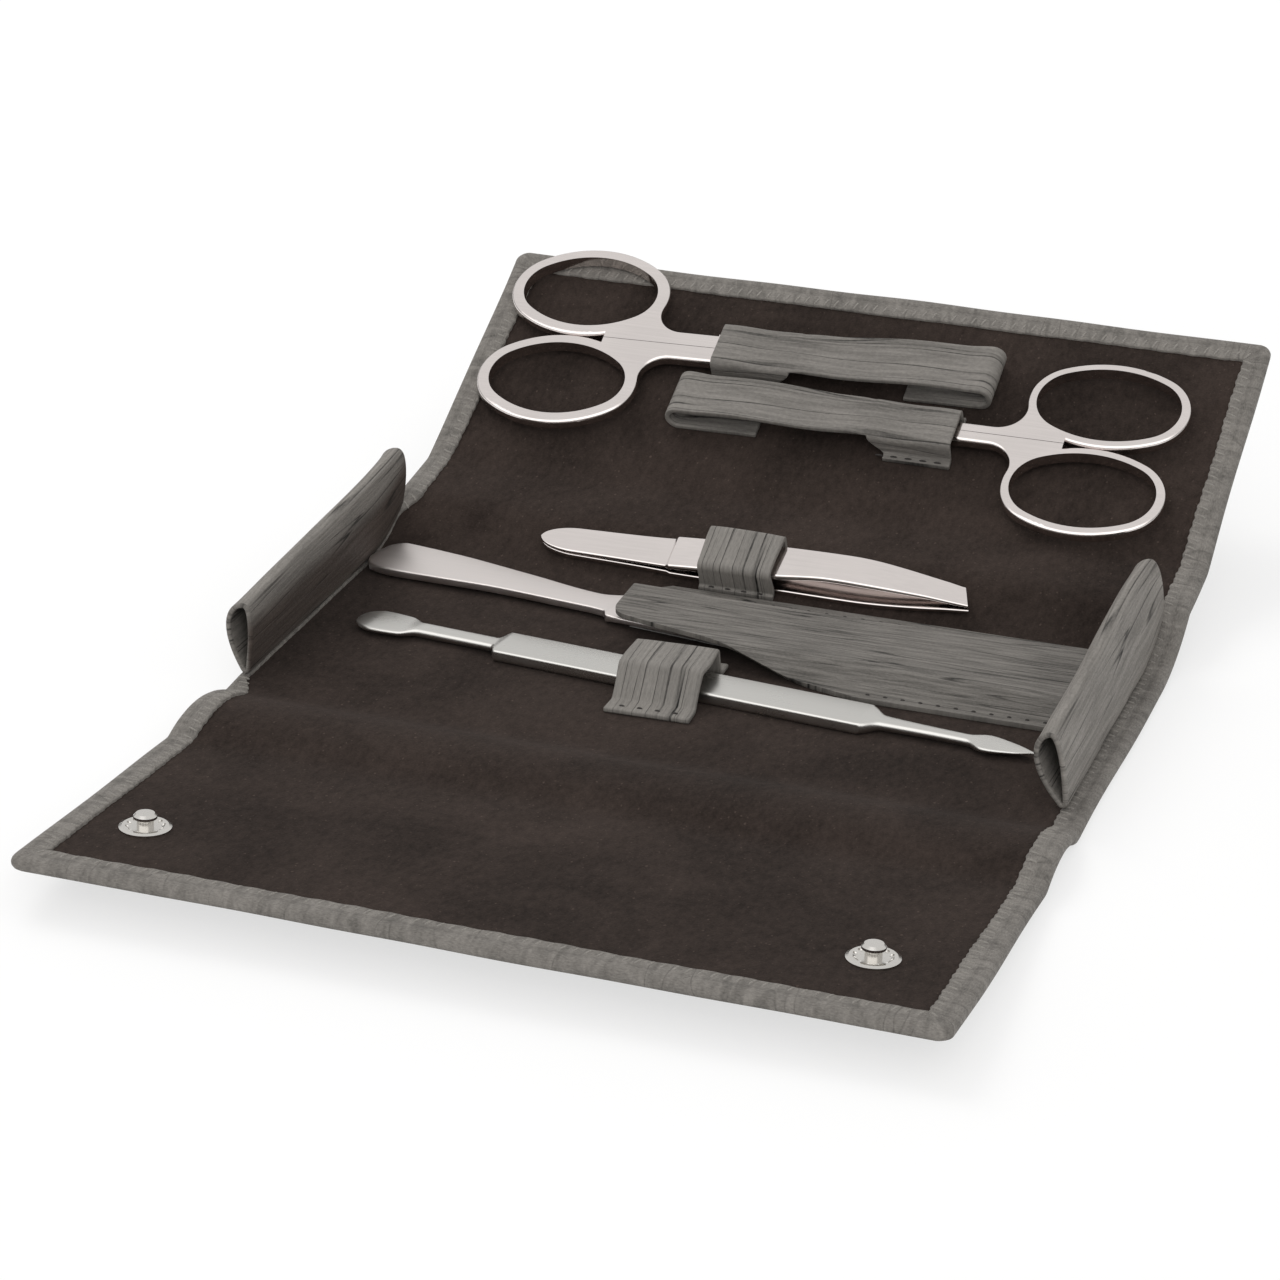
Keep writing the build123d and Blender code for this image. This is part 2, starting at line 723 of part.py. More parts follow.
# Cuticle pusher: its outline from above, cut by its outline from the side
paddle_half = pusher_paddle_width / 2
paddle_edge = pusher_paddle_length * 0.4
neck_half = pusher_neck_width / 2
neck_start = pusher_paddle_length + pusher_paddle_shoulder
pusher_length = case_width - pusher_left_inset - pusher_right_inset
pusher_body_end = pusher_length - pusher_body_tail
neck_end = pusher_body_start - pusher_body_shoulder / 2
body_half = pusher_body_width / 2
body_start = pusher_body_start + pusher_body_shoulder / 2
collar_end = pusher_body_end + pusher_collar
spear_start = pusher_length - pusher_spear_length
spear_widest = spear_start + pusher_spear_shoulder
with BuildPart() as cuticle_pusher:
    with BuildSketch():
        with BuildLine():
            ThreePointArc((0, 0), (paddle_edge / 3, paddle_half * 0.62), (paddle_edge, paddle_half))
            Line((paddle_edge, paddle_half), (pusher_paddle_length, paddle_half - pusher_paddle_taper))
            Spline(
                (pusher_paddle_length, paddle_half - pusher_paddle_taper),
                (neck_start, neck_half),
                tangents=((1, -0.15), (1, 0)),
            )
            Line((neck_start, neck_half), (neck_end, neck_half))
            Spline((neck_end, neck_half), (body_start, body_half), tangents=((1, 0.2), (1, 0.6)))
            Line((body_start, body_half), (pusher_body_end, body_half))
            Spline(
                (pusher_body_end, body_half),
                (collar_end, pusher_collar_width / 2),
                tangents=((1, -0.6), (1, -0.2)),
            )
            Line((collar_end, pusher_collar_width / 2), (spear_start, pusher_spear_neck / 2))
            Spline(
                (spear_start, pusher_spear_neck / 2),
                (spear_widest, pusher_spear_width / 2),
                (pusher_length, 0),
                tangents=((1, 0), (1, -0.35)),
            )
            Line((pusher_length, 0), (0, 0))
        make_face()
        mirror(about=Plane.XZ)
    extrude(amount=pusher_body_thickness)
    side_view = Plane(origin=(0, 0, pusher_body_thickness / 2), x_dir=(1, 0, 0), z_dir=(0, -1, 0))
    with BuildSketch(side_view):
        with BuildLine():
            Polyline(
                (-overcut, pusher_edge_thickness / 2),
                (0, pusher_edge_thickness / 2),
                (paddle_edge, pusher_paddle_thickness / 2),
                (neck_start, pusher_neck_thickness / 2),
                (neck_end, pusher_neck_thickness / 2),
                (body_start, pusher_body_thickness / 2),
                (pusher_body_end, pusher_body_thickness / 2),
                (collar_end, pusher_neck_thickness / 2),
                (spear_start, pusher_spear_neck_thickness / 2),
                (spear_widest, pusher_spear_thickness / 2),
                (pusher_length + overcut, pusher_tip_thickness / 2),
                (pusher_length + overcut, 0),
                (-overcut, 0),
                close=True,
            )
        make_face()
        mirror(about=Plane.XZ)
    extrude(amount=pusher_body_width, both=True, mode=Mode.INTERSECT)
save(pusher_place * cuticle_pusher.part, "cuticle_pusher")


# Nail file: a handle with a rounded end and a narrow neck, and a flat blade with two abrasive coats
file_level = above_base(base_station(file_y), file_lift)[1]
blade_half = file_blade_width / 2
file_x = file_side_inset - case_width / 2
file_place = Location((file_x, file_y, file_level), (0, 0, file_turn)) * Location(
    (0, 0, 0), (file_roll, file_pitch, 0)
)
file_length = file_handle_length + file_blade_length
file_middle = file_thickness / 2
blade_tip_radius = file_blade_width * 0.28
grit_start = file_handle_length + 1.4


def file_blade_outline(start, inset):
    """Outline of the file's blade from above, from a distance along the file, drawn inside by inset."""
    half = file_blade_width / 2 - inset
    taper = file_length - file_blade_length * 0.4
    with BuildSketch() as blade:
        with BuildLine():
            Line((start, half), (taper, half))
            Spline(
                (taper, half),
                (file_length - blade_tip_radius - inset, blade_tip_radius),
                (file_length - inset, 0),
                tangents=((1, 0), (0, -1)),
            )
            Spline(
                (file_length - inset, 0),
                (file_length - blade_tip_radius - inset, -blade_tip_radius),
                (taper, -half),
                tangents=((0, -1), (-1, 0)),
            )
            Line((taper, -half), (start, -half))
            Line((start, -half), (start, half))
        make_face()
    return blade.sketch


def along_handle(waist):
    """Outline points of the waist, given by their distance back from the handle's inner end."""
    return tuple((file_handle_length - back, offset) for back, offset in waist)


file_far_edge = file_butt_far + along_handle(file_waist_far)
file_near_edge = along_handle(file_waist_near) + file_butt_near
with BuildPart() as nail_file:
    with BuildSketch():
        with BuildLine():
            ThreePointArc(file_near_edge[-1], file_handle_end, file_far_edge[0])
            Spline(*file_far_edge)
            Polyline(
                file_far_edge[-1],
                (file_handle_length, blade_half),
                (file_handle_length, -blade_half),
                file_near_edge[0],
            )
            Spline(*file_near_edge)
        make_face()
        add(file_blade_outline(file_handle_length - overcut, 0))
    extrude(amount=file_thickness)
    with BuildSketch(Plane(origin=(0, 0, file_middle), x_dir=(1, 0, 0), z_dir=(0, -1, 0))):
        with BuildLine():
            Polyline(
                (file_handle_end[0] - overcut, 0.0),
                (file_handle_end[0] - overcut, file_thickness / 2),
                (file_handle_length - file_step, file_thickness / 2),
                (file_handle_length, file_blade_thickness / 2),
                (file_length + overcut, file_blade_thickness / 2),
                (file_length + overcut, 0.0),
                close=True,
            )
        make_face()
        mirror(about=Plane.XZ)
    extrude(amount=file_length, both=True, mode=Mode.INTERSECT)
save(file_place * nail_file.part, "nail_file")

with BuildPart() as file_grit:
    with BuildSketch(Plane.XY.offset(file_middle + file_blade_thickness / 2)):
        add(file_blade_outline(grit_start, grit_margin))
    extrude(amount=grit_thickness)
    mirror(about=Plane.XY.offset(file_middle))
save(file_place * file_grit.part, "nail_file_grit")


# Tweezers: two sprung arms, one over the other, joined at the square end. u runs to the tip.
tweezers_frame = panel_plane(base_path, tweezers_x, tweezers_station, hem_leather - tweezers_lift)
tweezers_taper = tweezers_length * 0.74


def tweezers_outline():
    """Outline of both arms from above, with the slanted tip."""
    half = tweezers_width / 2
    tip = tweezers_tip_width / 2
    with BuildSketch() as plan:
        with BuildLine():
            Polyline(
                (0, half - 0.5),
                (0.5, half),
                (tweezers_step - 0.6, half),
                (tweezers_taper, half),
                (tweezers_length - tweezers_tip_slant, tip),
                (tweezers_length, -tip),
                (tweezers_taper, -half),
                (0.5, -half),
                (0, -half + 0.5),
                close=True,
            )
        make_face()
    return plan.sketch


with BuildPart() as tweezers_lower_arm:
    with BuildSketch():
        add(tweezers_outline())
    extrude(amount=3 * tweezers_arm)
    with BuildSketch(Plane(origin=(0, 0, 0), x_dir=(1, 0, 0), z_dir=(0, -1, 0))):
        with BuildLine():
            Line((0, 0), (tweezers_length * 0.8, 0))
            Spline(
                (tweezers_length * 0.8, 0),
                (tweezers_length, 0.5),
                tangents=((1, 0), (1, 0.1)),
            )
            Line((tweezers_length, 0.5), (tweezers_length, tweezers_arm + 0.1))
            Spline(
                (tweezers_length, tweezers_arm + 0.1),
                (tweezers_length * 0.8, tweezers_arm),
                tangents=((-1, -0.1), (-1, 0)),
            )
            Line((tweezers_length * 0.8, tweezers_arm), (0, tweezers_arm))
            Line((0, tweezers_arm), (0, 0))
        make_face()
    extrude(amount=tweezers_width, both=True, mode=Mode.INTERSECT)
save(tweezers_frame.location * tweezers_lower_arm.part, "tweezers_lower_arm")

with BuildPart() as tweezers_upper_arm:
    seat = tweezers_arm + tweezers_root_gap
    grip = tweezers_arm - tweezers_step_rise
    bow_peak = 0.72 * tweezers_length
    tip_level = tweezers_arm + 0.1 + tweezers_tip_gap
    with BuildSketch():
        add(tweezers_outline())
    extrude(amount=6 * tweezers_arm)
    with BuildSketch(Plane(origin=(0, 0, 0), x_dir=(1, 0, 0), z_dir=(0, -1, 0))):
        with BuildLine():
            Line((0, seat), (tweezers_root, seat))
            Spline(
                (tweezers_root, seat),
                (tweezers_step, tweezers_arm + 0.3 * tweezers_bow),
                (bow_peak, tweezers_arm + tweezers_bow),
                (tweezers_length, tip_level),
                tangents=((1, 0), (1, -0.22)),
            )
            Line((tweezers_length, tip_level), (tweezers_length, tip_level + 0.7))
            Spline(
                (tweezers_length, tip_level + 0.7),
                (bow_peak, 2 * tweezers_arm + tweezers_bow),
                (tweezers_step, 2 * tweezers_arm + 0.3 * tweezers_bow),
                tangents=((-1, 0.3), (-1, -0.04)),
            )
            Line(
                (tweezers_step, 2 * tweezers_arm + 0.3 * tweezers_bow),
                (tweezers_step - tweezers_step_rise, tweezers_arm + grip + 0.28 * tweezers_bow),
            )
            Spline(
                (tweezers_step - tweezers_step_rise, tweezers_arm + grip + 0.28 * tweezers_bow),
                (tweezers_root, seat + grip),
                tangents=((-1, -0.04), (-1, 0)),
            )
            Line((tweezers_root, seat + grip), (0, seat + grip))
            Line((0, seat + grip), (0, seat))
        make_face()
    extrude(amount=tweezers_width, both=True, mode=Mode.INTERSECT)
save(tweezers_frame.location * tweezers_upper_arm.part, "tweezers_upper_arm")


# Scissors and their sheaths are drawn on the cover's lining, x along the fold and s out from it
cover_frame = panel_plane(cover_path, 0, 0, hem_leather)


def oval(length, width, end_radius):
    """Oval of four tangent arcs."""
    end = length / 2 - end_radius
    side_radius = (end**2 + (width / 2) ** 2 - end_radius**2) / (width - 2 * end_radius)
    drop = side_radius - width / 2
    reach = hypot(end, drop)
    joint_x = end + end_radius * end / reach
    joint_y = end_radius * drop / reach
    with BuildSketch() as shape:
        with BuildLine():
            ThreePointArc((-joint_x, joint_y), (0, width / 2), (joint_x, joint_y))
            ThreePointArc((joint_x, joint_y), (length / 2, 0), (joint_x, -joint_y))
            ThreePointArc((joint_x, -joint_y), (0, -width / 2), (-joint_x, -joint_y))
            ThreePointArc((-joint_x, -joint_y), (-length / 2, 0), (-joint_x, joint_y))
        make_face()
    return shape.sketch


def scissors_lower_half(size):
    """Half with its ring on the -Y side and its blade in the lower layer, the pivot at the origin."""
    layer = size["thickness"] / 2
    shank = size["shank"]
    boss = shank + pivot_fit
    ring_x = -size["ring_reach"]
    web_x = ring_x + size["web"]
    inner_length = size["ring_length"] - 2 * size["band"]
    inner_width = size["ring_width"] - 2 * size["band"]
    end_centre = (ring_x + size["ring_length"] / 2 - size["end_radius"], -size["ring_offset"])
    round_level = -shank - size["web_round"]
    centre_gap = size["end_radius"] + size["web_round"]
    round_centre = (end_centre[0] + (centre_gap**2 - (round_level - end_centre[1]) ** 2) ** 0.5, round_level)
    heading = atan2(round_level - end_centre[1], round_centre[0] - end_centre[0])
    joint = (
        end_centre[0] + size["end_radius"] * cos(heading),
        end_centre[1] + size["end_radius"] * sin(heading),
    )
    middle_heading = (heading + pi + pi / 2) / 2
    round_middle = (
        round_centre[0] + size["web_round"] * cos(middle_heading),
        round_centre[1] + size["web_round"] * sin(middle_heading),
    )
    with BuildPart() as half:
        with BuildSketch():
            with Locations((ring_x, -size["ring_offset"])):
                add(oval(size["ring_length"], size["ring_width"], size["end_radius"]))
            with BuildLine():
                Polyline(
                    joint,
                    (web_x, -size["ring_offset"]),
                    (web_x, -scissors_half_gap),
                    (0, -scissors_half_gap),
                    (0, -shank),
                    (round_centre[0], -shank),
                )
                ThreePointArc((round_centre[0], -shank), round_middle, joint)
            make_face()
        extrude(amount=size["thickness"])
        rims = half.edges().filter_by(Plane.XY)
        curved = [edge for edge in rims if edge.geom_type != GeomType.LINE]
        fillet(curved, scissors_edge_round)
        with BuildSketch():
            with Locations((ring_x, -size["ring_offset"])):
                add(oval(inner_length, inner_width, size["end_radius"] - size["band"]))
        extrude(amount=size["thickness"], mode=Mode.SUBTRACT)
        with BuildSketch():
            Circle(boss + pivot_fit)
        extrude(amount=size["thickness"], mode=Mode.SUBTRACT)
        with BuildSketch():
            Circle(shank)
            with BuildLine():
                Line((0, -shank), (-2 * boss, -shank))
                Line((-2 * boss, -shank), (-2 * boss, -scissors_half_gap))
                Line((-2 * boss, -scissors_half_gap), (0, -scissors_half_gap))
                Line((0, -scissors_half_gap), (0, -shank))
            make_face()
            with BuildLine():
                Line((0, shank), (shank * 0.9, size["blade_back"]))
                Spline(
                    (shank * 0.9, size["blade_back"]),
                    (size["blade"] * 0.6, size["blade_back"] * 0.72),
                    (size["blade"], -size["edge_pass"] * 0.2),
                    tangents=((1, 0), (1, -0.35)),
                )
                Line((size["blade"], -size["edge_pass"] * 0.2), (shank * 0.9, -size["edge_pass"]))
                Line((shank * 0.9, -size["edge_pass"]), (0, -shank * 0.9))
                Line((0, -shank * 0.9), (0, shank))
            make_face()
        extrude(amount=layer - scissors_half_gap / 2)
        with BuildSketch(Plane.XZ):
            with BuildLine():
                Polyline(
                    (size["blade"] * 0.3, 0),
                    (size["blade"] + 1, layer * 0.62),
                    (size["blade"] + 1, -1),
                    (size["blade"] * 0.3, -1),
                    close=True,
                )
            make_face()
        extrude(amount=2 * shank, both=True, mode=Mode.SUBTRACT)
        with BuildSketch():
            Circle(size["screw"] + pivot_fit)
        extrude(amount=size["thickness"], mode=Mode.SUBTRACT)
    return half.part


scissors_sets = {"nail": (nail_scissors, nail_sheath), "cuticle": (cuticle_scissors, cuticle_sheath)}
for name, (size, sheath) in scissors_sets.items():
    pivot = Location((size["pivot_x"], size["pivot_s"], scissors_lift), (0, 0, size["turn"]))
    place = cover_frame.location * pivot
    lower = scissors_lower_half(size)
    turned_over = Location((0, 0, size["thickness"]), (180, 0, 0))
    upper = turned_over * scissors_lower_half(size)
    lower_side, upper_side = ("near", "far") if abs(size["turn"]) < 90 else ("far", "near")
    save(place * lower, f"{name}_scissors_{lower_side}_half")
    save(place * upper, f"{name}_scissors_{upper_side}_half")

    with BuildPart() as screw:
        with BuildSketch():
            Circle(size["screw"])
        extrude(amount=size["thickness"] + screw_head_height / 2)
        with BuildSketch(Plane.XY.offset(size["thickness"])):
            Circle(size["head"])
        extrude(amount=screw_head_height)
        chamfer(screw.edges().group_by(Axis.Z)[-1], screw_head_height / 3)
        with Locations(Plane.XY.offset(size["thickness"] + screw_head_height)):
            Box(2 * size["head"], screw_slot, screw_head_height, mode=Mode.SUBTRACT)
    save(place * screw.part, f"{name}_scissors_screw")

    toward = 1 if sheath["end_x"] > sheath["mouth_x"] else -1
    floor = sheath_seat + sheath_leather / 2
    roof = scissors_lift + size["thickness"] + sheath_room + sheath_leather / 2
    bend = (roof - floor) / 2
    near_wall = size["pivot_s"] - size["shank"] - sheath["near_room"] - sheath_leather / 2
    far_wall = size["pivot_s"] + size["shank"] + sheath["far_room"] + sheath_leather / 2
    with BuildPart() as pocket:
        with BuildSketch(Plane.XZ):
            with BuildLine():
                Line((sheath["mouth_x"], roof), (sheath["end_x"] - toward * bend, roof))
                ThreePointArc(
                    (sheath["end_x"] - toward * bend, roof),
                    (sheath["end_x"], floor + bend),
                    (sheath["end_x"] - toward * bend, floor),
                )
                Line((sheath["end_x"] - toward * bend, floor), (sheath["tab_x"], floor))
            trace(line_width=sheath_leather)
        extrude(amount=2 * cover_length, both=True)
        with BuildSketch():
            with BuildLine():
                Polyline(
                    (sheath["mouth_x"], sheath["mouth_near"]),
                    (sheath["mouth_x"], sheath["mouth_far"]),
                    (sheath["end_x"] + toward * sheath_leather, sheath["end_far"]),
                    (sheath["end_x"] + toward * sheath_leather, sheath["end_near"]),
                    close=True,
                )
            make_face()
        extrude(amount=2 * roof, mode=Mode.INTERSECT)
        with BuildSketch(Plane.YZ.offset(sheath["mouth_x"])):
            with BuildLine():
                FilletPolyline(
                    (near_wall - sheath_foot, floor),
                    (near_wall, floor),
                    (near_wall + 0.05, roof),
                    (far_wall - 0.05, roof),
                    (far_wall, floor),
                    (far_wall + sheath_foot, floor),
                    radius=sheath_bend,
                )
            trace(line_width=sheath_leather)
        extrude(amount=toward * sheath["tube"])
    save(cover_frame.location * pocket.part, f"{name}_scissors_sheath")
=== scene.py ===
# %% [markdown]
# # A leather manicure case, lying open
# The case is a strip of leather in five panels: front flap, front spine, base, back spine and cover.
# Its edges are turned over a suede lining as a hem, and leather straps hold polished steel tools.
# The packed CAD model comes in first, and every new piece is laid on it in the same frame.

# %% Load the CAD frame
import json
import math

import bmesh
import bpy
import numpy as np
from mathutils import Matrix, Vector


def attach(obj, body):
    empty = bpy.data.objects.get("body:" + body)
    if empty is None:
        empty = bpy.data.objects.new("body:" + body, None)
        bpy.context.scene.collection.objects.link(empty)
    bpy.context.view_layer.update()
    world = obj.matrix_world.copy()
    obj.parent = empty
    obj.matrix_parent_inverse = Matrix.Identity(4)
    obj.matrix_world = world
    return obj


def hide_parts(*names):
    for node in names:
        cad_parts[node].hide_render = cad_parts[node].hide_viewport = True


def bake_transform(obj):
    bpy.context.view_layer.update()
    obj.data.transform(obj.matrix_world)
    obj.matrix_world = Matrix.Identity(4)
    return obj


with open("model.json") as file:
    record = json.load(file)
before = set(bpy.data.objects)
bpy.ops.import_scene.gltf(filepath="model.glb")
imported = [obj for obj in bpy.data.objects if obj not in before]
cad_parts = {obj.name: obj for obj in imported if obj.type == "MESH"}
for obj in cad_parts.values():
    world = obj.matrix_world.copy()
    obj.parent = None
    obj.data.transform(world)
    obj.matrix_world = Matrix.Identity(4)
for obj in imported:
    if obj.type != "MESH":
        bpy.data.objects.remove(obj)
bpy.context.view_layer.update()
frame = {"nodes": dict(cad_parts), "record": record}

MM = 0.001

# %% [markdown]
# ## The camera
# The photograph was taken from the front left of the flap, a little above the case, with a long lens.
# The camera's place was found by fitting the case's corners, so the render can be laid over the photo.
# Two directions are enough to turn the camera: where it looks from, and which way is up.

# %% Place the camera
camera_data = bpy.data.cameras.new("camera")
camera_data.sensor_width = 36.0
camera_data.lens = 109.966
camera = bpy.data.objects.new("camera", camera_data)
bpy.context.scene.collection.objects.link(camera)
view_back = Vector((0.304602, -0.854614, 0.420539)).normalized()
level_right = Vector((0.0, 0.0, 1.0)).cross(view_back).normalized()
level_up = view_back.cross(level_right)
roll = math.radians(0.406)
view_right = math.cos(roll) * level_right + math.sin(roll) * level_up
view_up = math.cos(roll) * level_up - math.sin(roll) * level_right
turn = Matrix((view_right, view_up, view_back)).transposed()
camera.matrix_world = Matrix.Translation((0.1938176, -0.5798114, 0.2908333)) @ turn.to_4x4()
bpy.context.scene.camera = camera
print("camera looks down by", round(math.degrees(math.asin(view_back.z)), 1), "degrees")

# %% [markdown]
# ## A short way to write shader nodes
# Every material here is a graph of nodes. A small class adds a node with its settings and its inputs,
# which are plain values or other nodes' outputs, so that each effect reads as a line of arithmetic.

# %% Write the node helper
class Graph:
    """Node tree of a material, world or group. Inputs are values or sockets; methods give a socket."""

    def __init__(self, owner):
        """Starts from the owner's node tree, emptied."""
        if not isinstance(owner, bpy.types.NodeTree):
            owner.use_nodes = True
            owner = owner.node_tree
        owner.nodes.clear()
        self.tree = owner

    def feed(self, node, inputs):
        """Sets or links a node's inputs."""
        for key, value in inputs.items():
            if isinstance(value, bpy.types.NodeSocket):
                self.tree.links.new(value, node.inputs[key])
            else:
                node.inputs[key].default_value = value
        return node

    def node(self, kind, inputs=None, **settings):
        """New node with its properties and inputs."""
        node = self.tree.nodes.new(kind if kind.startswith("NodeGroup") else "ShaderNode" + kind)
        for key, value in settings.items():
            setattr(node, key, value)
        return self.feed(node, inputs or {})

    def make(self, kind, inputs=None, **settings):
        """First output of a new node."""
        return self.node(kind, inputs, **settings).outputs[0]

    def maths(self, kind, first, second=0.0):
        """One arithmetic step."""
        return self.make("Math", {0: first, 1: second}, operation=kind)

    def total(self, start, *parts):
        """Start plus each (value, weight) product."""
        for value, weight in parts:
            start = self.make("Math", {0: value, 1: weight, 2: start}, operation="MULTIPLY_ADD")
        return start

    def centred(self, value, amount):
        """How far a value lies from one half, times an amount."""
        return self.maths("MULTIPLY", self.maths("SUBTRACT", value, 0.5), amount)

    def between(self, value, low, high, to_low=0.0, to_high=1.0):
        """Value mapped smoothly from low..high to to_low..to_high, held at its ends."""
        limits = {"Value": value, "From Min": low, "From Max": high, "To Min": to_low, "To Max": to_high}
        return self.make("MapRange", limits, interpolation_type="SMOOTHSTEP")

    def scaled(self, vector, scale):
        """Vector times a scale for each axis."""
        return self.make("Mapping", {"Vector": vector, "Scale": scale})

    def noise(self, vector, scale, detail, rough=0.5, distortion=0.0):
        """Noise of a scaled vector, as a number around one half."""
        values = {"Scale": 1.0, "Detail": detail, "Roughness": rough, "Distortion": distortion}
        return self.make("TexNoise", {"Vector": self.scaled(vector, scale), **values})

    def mix(self, amount, first, second, kind="MIX"):
        """Two colours mixed by an amount."""
        colours = {0: amount, 6: first, 7: second}
        return self.node("Mix", colours, data_type="RGBA", blend_type=kind).outputs[2]

    def tint(self, colour, shade):
        """Colour times a number."""
        grey = self.make("CombineColor", {0: shade, 1: shade, 2: shade})
        return self.mix(1.0, (*colour, 1.0), grey, "MULTIPLY")

    def bump(self, strength, distance, height):
        """Normal of a bumped surface."""
        return self.make("Bump", {"Strength": strength, "Distance": distance, "Height": height})


print("node helper:", [name for name in vars(Graph) if not name.startswith("_")])


# %% Write the start of a material and of a group
def new_material(name, values):
    """Material with a Principled surface and its plain values; gives it, its graph and the surface."""
    material = bpy.data.materials.new(name)
    graph = Graph(material)
    surface = graph.node("BsdfPrincipled", values)
    graph.node("OutputMaterial", {"Surface": surface.outputs[0]})
    return material, graph, surface


def new_group(name, vector, amounts, results):
    """Node group with one vector input, amounts that start at one, and number results."""
    tree = bpy.data.node_groups.new(name, "ShaderNodeTree")
    tree.interface.new_socket(name=vector, in_out="INPUT", socket_type="NodeSocketVector")
    for label in amounts:
        socket = tree.interface.new_socket(name=label, in_out="INPUT", socket_type="NodeSocketFloat")
        socket.default_value = 1.0
    for label in results:
        tree.interface.new_socket(name=label, in_out="OUTPUT", socket_type="NodeSocketFloat")
    graph = Graph(tree)
    return graph, graph.node("NodeGroupInput").outputs, graph.node("NodeGroupOutput")


print("groups and materials start from:", new_group.__name__, new_material.__name__)

# %% [markdown]
# ## Floor and light
# A product photograph like this one has a pure white ground. The floor and the sky are white to the
# camera, by Light Path, and the case itself is lit at a plain level by a soft sky and two large lamps.
# Reflections see a sky that is brightest in front, bright overhead and darker near the horizon, as a
# studio is: that is what gives polished steel its bright edges and dark sides. The floor still takes
# the case's shadow.

# %% Lay the floor
floor_material = bpy.data.materials.new("white_floor")
graph = Graph(floor_material)
floor_paint = graph.make("BsdfDiffuse", {"Color": (0.86, 0.86, 0.86, 1.0)})
floor_glow = graph.make("Emission", {"Color": (1.0, 1.0, 1.0, 1.0), "Strength": 1.06})
glow_share = graph.maths("MULTIPLY", graph.node("LightPath").outputs["Is Camera Ray"], 0.62)
floor_look = graph.make("MixShader", {0: glow_share, 1: floor_paint, 2: floor_glow})
graph.node("OutputMaterial", {"Surface": floor_look})

floor_reach = 3.0
floor_mesh = bpy.data.meshes.new("floor")
floor_corners = [(floor_reach * x, floor_reach * y, 0) for x, y in ((-1, -1), (1, -1), (1, 1), (-1, 1))]
floor_mesh.from_pydata(floor_corners, [], [(0, 1, 2, 3)])
floor_mesh.materials.append(floor_material)
floor = bpy.data.objects.new("floor", floor_mesh)
bpy.context.scene.collection.objects.link(floor)
print("floor, m across:", 2 * floor_reach)

# %% Light the case
world = bpy.data.worlds.new("studio")
bpy.context.scene.world = world
graph = Graph(world)
rays = graph.node("LightPath").outputs
sky_way = graph.node("SeparateXYZ", {0: graph.node("TexCoord").outputs["Generated"]}).outputs
overhead = graph.between(sky_way[2], 0.02, 0.34, 0.16, 0.84)
in_front = graph.between(sky_way[1], -0.55, -0.15, 2.0, 1.0)
mirrored = graph.maths("MULTIPLY", overhead, in_front)
plain_level = 0.74
shown = graph.make("Mix", {0: rays["Is Glossy Ray"], 2: plain_level, 3: mirrored}, data_type="FLOAT")
strength = graph.make("Mix", {0: rays["Is Camera Ray"], 2: shown, 3: 1.0}, data_type="FLOAT")
sky = graph.make("Background", {"Color": (1.0, 0.995, 0.985, 1.0), "Strength": strength})
graph.node("OutputWorld", {"Surface": sky})


def soft_lamp(name, place, size, power):
    """Square area lamp, in metres and watts, turned to the middle of the case."""
    data = bpy.data.lights.new(name, "AREA")
    data.shape = "SQUARE"
    data.size = size
    data.energy = power
    lamp = bpy.data.objects.new(name, data)
    lamp.location = place
    lamp.rotation_euler = (Vector((0.0, 0.0, 0.01)) - Vector(place)).to_track_quat("-Z", "Y").to_euler()
    lamp.visible_glossy = False
    bpy.context.scene.collection.objects.link(lamp)


soft_lamp("key", (-0.75, 0.55, 1.0), 0.7, 6.5)
soft_lamp("front_fill", (0.5, -1.1, 0.7), 0.9, 4.6)
bpy.context.scene.view_settings.view_transform = "Standard"

# %% [markdown]
# ## Leather grain, a shared effect
# The leather is grained like bark: fine pebbles everywhere, long shallow streaks, and a few dark
# creases that run the same way. A shader node group makes it once, and each leather sets its own
# values. The pattern reads a UV map in metres, first along the strip and then across it, so that it
# follows every strap round its bends.

# %% Make the grain group
grain, given, results = new_group(
    "leather_grain", "Strip", ("Streaks", "Creases", "Pebbles"), ("Shade", "Height"),
)
strip = given["Strip"]
streak = grain.noise(strip, (110.0, 1000.0, 0.0), 4.0, 0.6, 0.3)
pebble = grain.noise(strip, (1900.0, 2300.0, 0.0), 3.0, 0.7)
broad = grain.noise(strip, (45.0, 110.0, 5.0), 2.0)
crease_field = grain.noise(strip, (20.0, 330.0, 3.0), 1.5, 0.5, 0.5)
crease_line = grain.maths("ABSOLUTE", grain.maths("SUBTRACT", crease_field, 0.5))
crease_patch = grain.between(grain.noise(strip, (45.0, 200.0, 9.0), 1.0), 0.36, 0.56)
crease = grain.maths("MULTIPLY", grain.between(crease_line, 0.0, 0.024, 1.0, 0.0), crease_patch)
crease = grain.maths("MULTIPLY", crease, grain.between(streak, 0.38, 0.56, 0.25, 1.0))
streaks = grain.centred(streak, given["Streaks"])
pebbles = grain.centred(pebble, given["Pebbles"])
creases = grain.maths("MULTIPLY", crease, given["Creases"])
shade = grain.total(1.0, (streaks, 0.6), (pebbles, 0.8), (grain.centred(broad, 0.35), 1.0), (creases, -0.5))
height = grain.total(0.0, (streaks, 1.2), (pebbles, 0.8), (creases, -0.9))
grain.tree.links.new(shade, results.inputs["Shade"])
grain.tree.links.new(height, results.inputs["Height"])
print("grain group nodes:", len(grain.tree.nodes))

# %% [markdown]
# ## The leather
# Grey-taupe leather is semi-matt, a little shinier where it is rubbed. The colour is multiplied by the
# grain's shade, and the same grain gives the bump. Sewing pulls a shallow groove into the hem: a bump,
# and a slightly darker line of painted shade at one distance across the strip.

# %% Make the leather materials
# Painted shade: the dark brown that the guard's shaded wall is multiplied towards.
painted_shade_brown = (0.30, 0.245, 0.225, 1.0)


